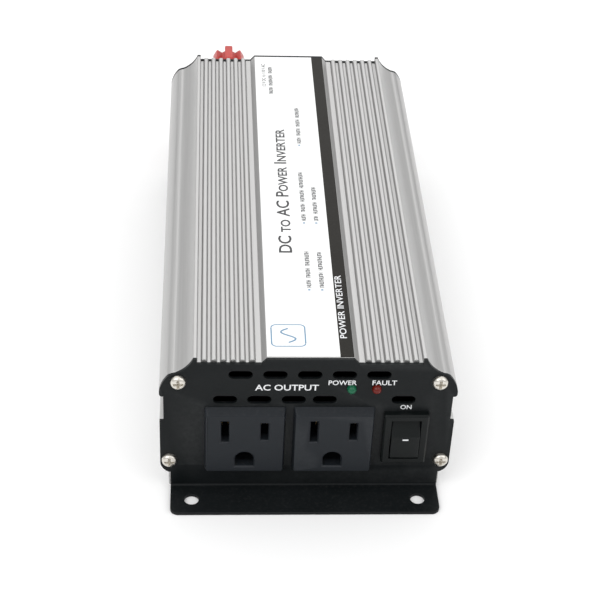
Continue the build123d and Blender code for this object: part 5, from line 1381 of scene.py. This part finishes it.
@dataclass
class Interior:
    """What shows through the vents: boards, windings, capacitors and wires."""

    def build(self, shop: Workshop, nodes: dict[str, Piece]) -> None:
        """Gives each hidden CAD node its own finish."""
        finishes = {
            BOARD: ("main_board", "indicator_board", "control_board"),
            FERRITE: ("transformer_cores", "choke"),
            BOBBIN: ("transformer_bobbins", "buzzer"),
            TAPE: ("transformer_windings",),
            SLEEVE: ("input_capacitors", "output_capacitors"),
            SAWN_BAR: ("heat_bars", "transistor_clamps"),
            FUSE_GRIP: ("blade_fuses",),
            INSULATION: ("terminal_leads", "outlet_wires", "switch_wires", "fan_wires"),
            FILM: ("insulating_sheet",),
            BRASS: ("left_outlet_contacts", "right_outlet_contacts", "switch_terminals", "fuse_clips"),
            TINNED: ("lamp_leads", "terminal_lugs"),
            NICKEL: ("terminal_nuts", "fan_nuts", "clamp_screws"),
            OUTLET_PLASTIC: ("left_outlet_back", "right_outlet_back"),
            BLACK_PLASTIC: ("terminal_inner_washers", "control_chips", "input_transistors",
                            "output_transistors"),
        }
        for finish, names in finishes.items():
            for name in names:
                shop.repaint(nodes[name], finish)


@dataclass
class Studio:
    """The pale floor, the soft lights and the camera."""

    camera_at: Triple = (-0.03235, -0.46963, 0.37141)
    yaw: float = 4.2767
    pitch: float = 37.9638
    roll: float = 2.8887
    lens: float = 94.116
    floor_size: float = 6.0
    horizon: float = 0.5
    zenith: float = 1.2

    def build(self) -> None:
        """Builds the floor, the world, the lights and the camera."""
        self.floor()
        self.world()
        self.light("key", (-0.9, -0.9, 1.5), 1.3, 9.0)
        self.light("fill", (1.2, -0.6, 1.1), 1.3, 4.0)
        self.light("back", (0.1, 1.5, 1.3), 1.4, 4.0)
        self.camera()

    def floor(self) -> None:
        """A large plain floor just under the mounting surface."""
        half = self.floor_size / 2
        points = np.array([(-half, -half, 0.0), (half, -half, 0.0), (half, half, 0.0), (-half, half, 0.0)])
        mesh = bpy.data.meshes.new("floor")
        mesh.from_pydata((points - (0.0, 0.0, 0.05 * MM)).tolist(), [], [[0, 1, 2, 3]])
        material = bpy.data.materials.new("pale_floor")
        material.use_nodes = True
        inputs = material.node_tree.nodes["Principled BSDF"].inputs
        inputs["Base Color"].default_value = (0.93, 0.93, 0.93, 1.0)
        inputs["Roughness"].default_value = 0.9
        inputs["Specular IOR Level"].default_value = 0.1
        mesh.materials.append(material)
        linked("floor", mesh)

    def world(self) -> None:
        """A white surround, brighter overhead than at the horizon."""
        world = bpy.data.worlds.new("surround")
        bpy.context.scene.world = world
        world.use_nodes = True
        wiring = Wiring(world.node_tree)
        up = wiring.axes(wiring.node("ShaderNodeTexCoord").outputs["Generated"])[2]
        background = world.node_tree.nodes["Background"]
        background.inputs["Color"].default_value = (1.0, 1.0, 1.0, 1.0)
        wiring.feed(background.inputs["Strength"], wiring.span(up, 0.0, 0.9, self.horizon, self.zenith))
        bpy.context.scene.view_settings.view_transform = "Standard"

    def light(self, name: str, at: Triple, size: float, power: float) -> None:
        """A square soft light that faces the middle of the inverter."""
        lamp = bpy.data.lights.new(name, "AREA")
        lamp.size = size
        lamp.energy = power
        holder = linked(name, lamp)
        holder.location = at
        holder.rotation_euler = (Vector((0, 0, 0.03)) - Vector(at)).to_track_quat("-Z", "Y").to_euler()

    def camera(self) -> None:
        """The camera, from its place and its yaw, pitch and roll in degrees."""
        yaw, pitch, roll = (math.radians(angle) for angle in (self.yaw, self.pitch, self.roll))
        ahead = Vector((math.sin(yaw) * math.cos(pitch), math.cos(yaw) * math.cos(pitch), -math.sin(pitch)))
        right = Vector((math.cos(yaw), -math.sin(yaw), 0.0))
        up = right.cross(ahead)
        right_rolled = right * math.cos(roll) + up * math.sin(roll)
        up_rolled = up * math.cos(roll) - right * math.sin(roll)
        data = bpy.data.cameras.new("camera")
        data.lens = self.lens
        data.sensor_width = 36.0
        camera = linked("camera", data)
        turn = Matrix((right_rolled, up_rolled, -ahead)).transposed().to_4x4()
        camera.matrix_world = Matrix.Translation(self.camera_at) @ turn
        bpy.context.scene.camera = camera


FRAME: dict = {}


def main() -> None:
    """Builds the inverter's looks on its frame, in order."""
    logging.basicConfig(level=logging.INFO, format="%(message)s")
    FRAME.update(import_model())
    shop = Workshop()
    for part in (Case(), Panels(), PanelScrews(), Label(), Outlets(), RockerSwitch(), Lamps(), Legends(),
                 Terminals(), Fan(), GroundScrew()):
        part.build(shop)
    Interior().build(shop, FRAME["nodes"])
    Studio().build()


if __name__ == "__main__":
    main()
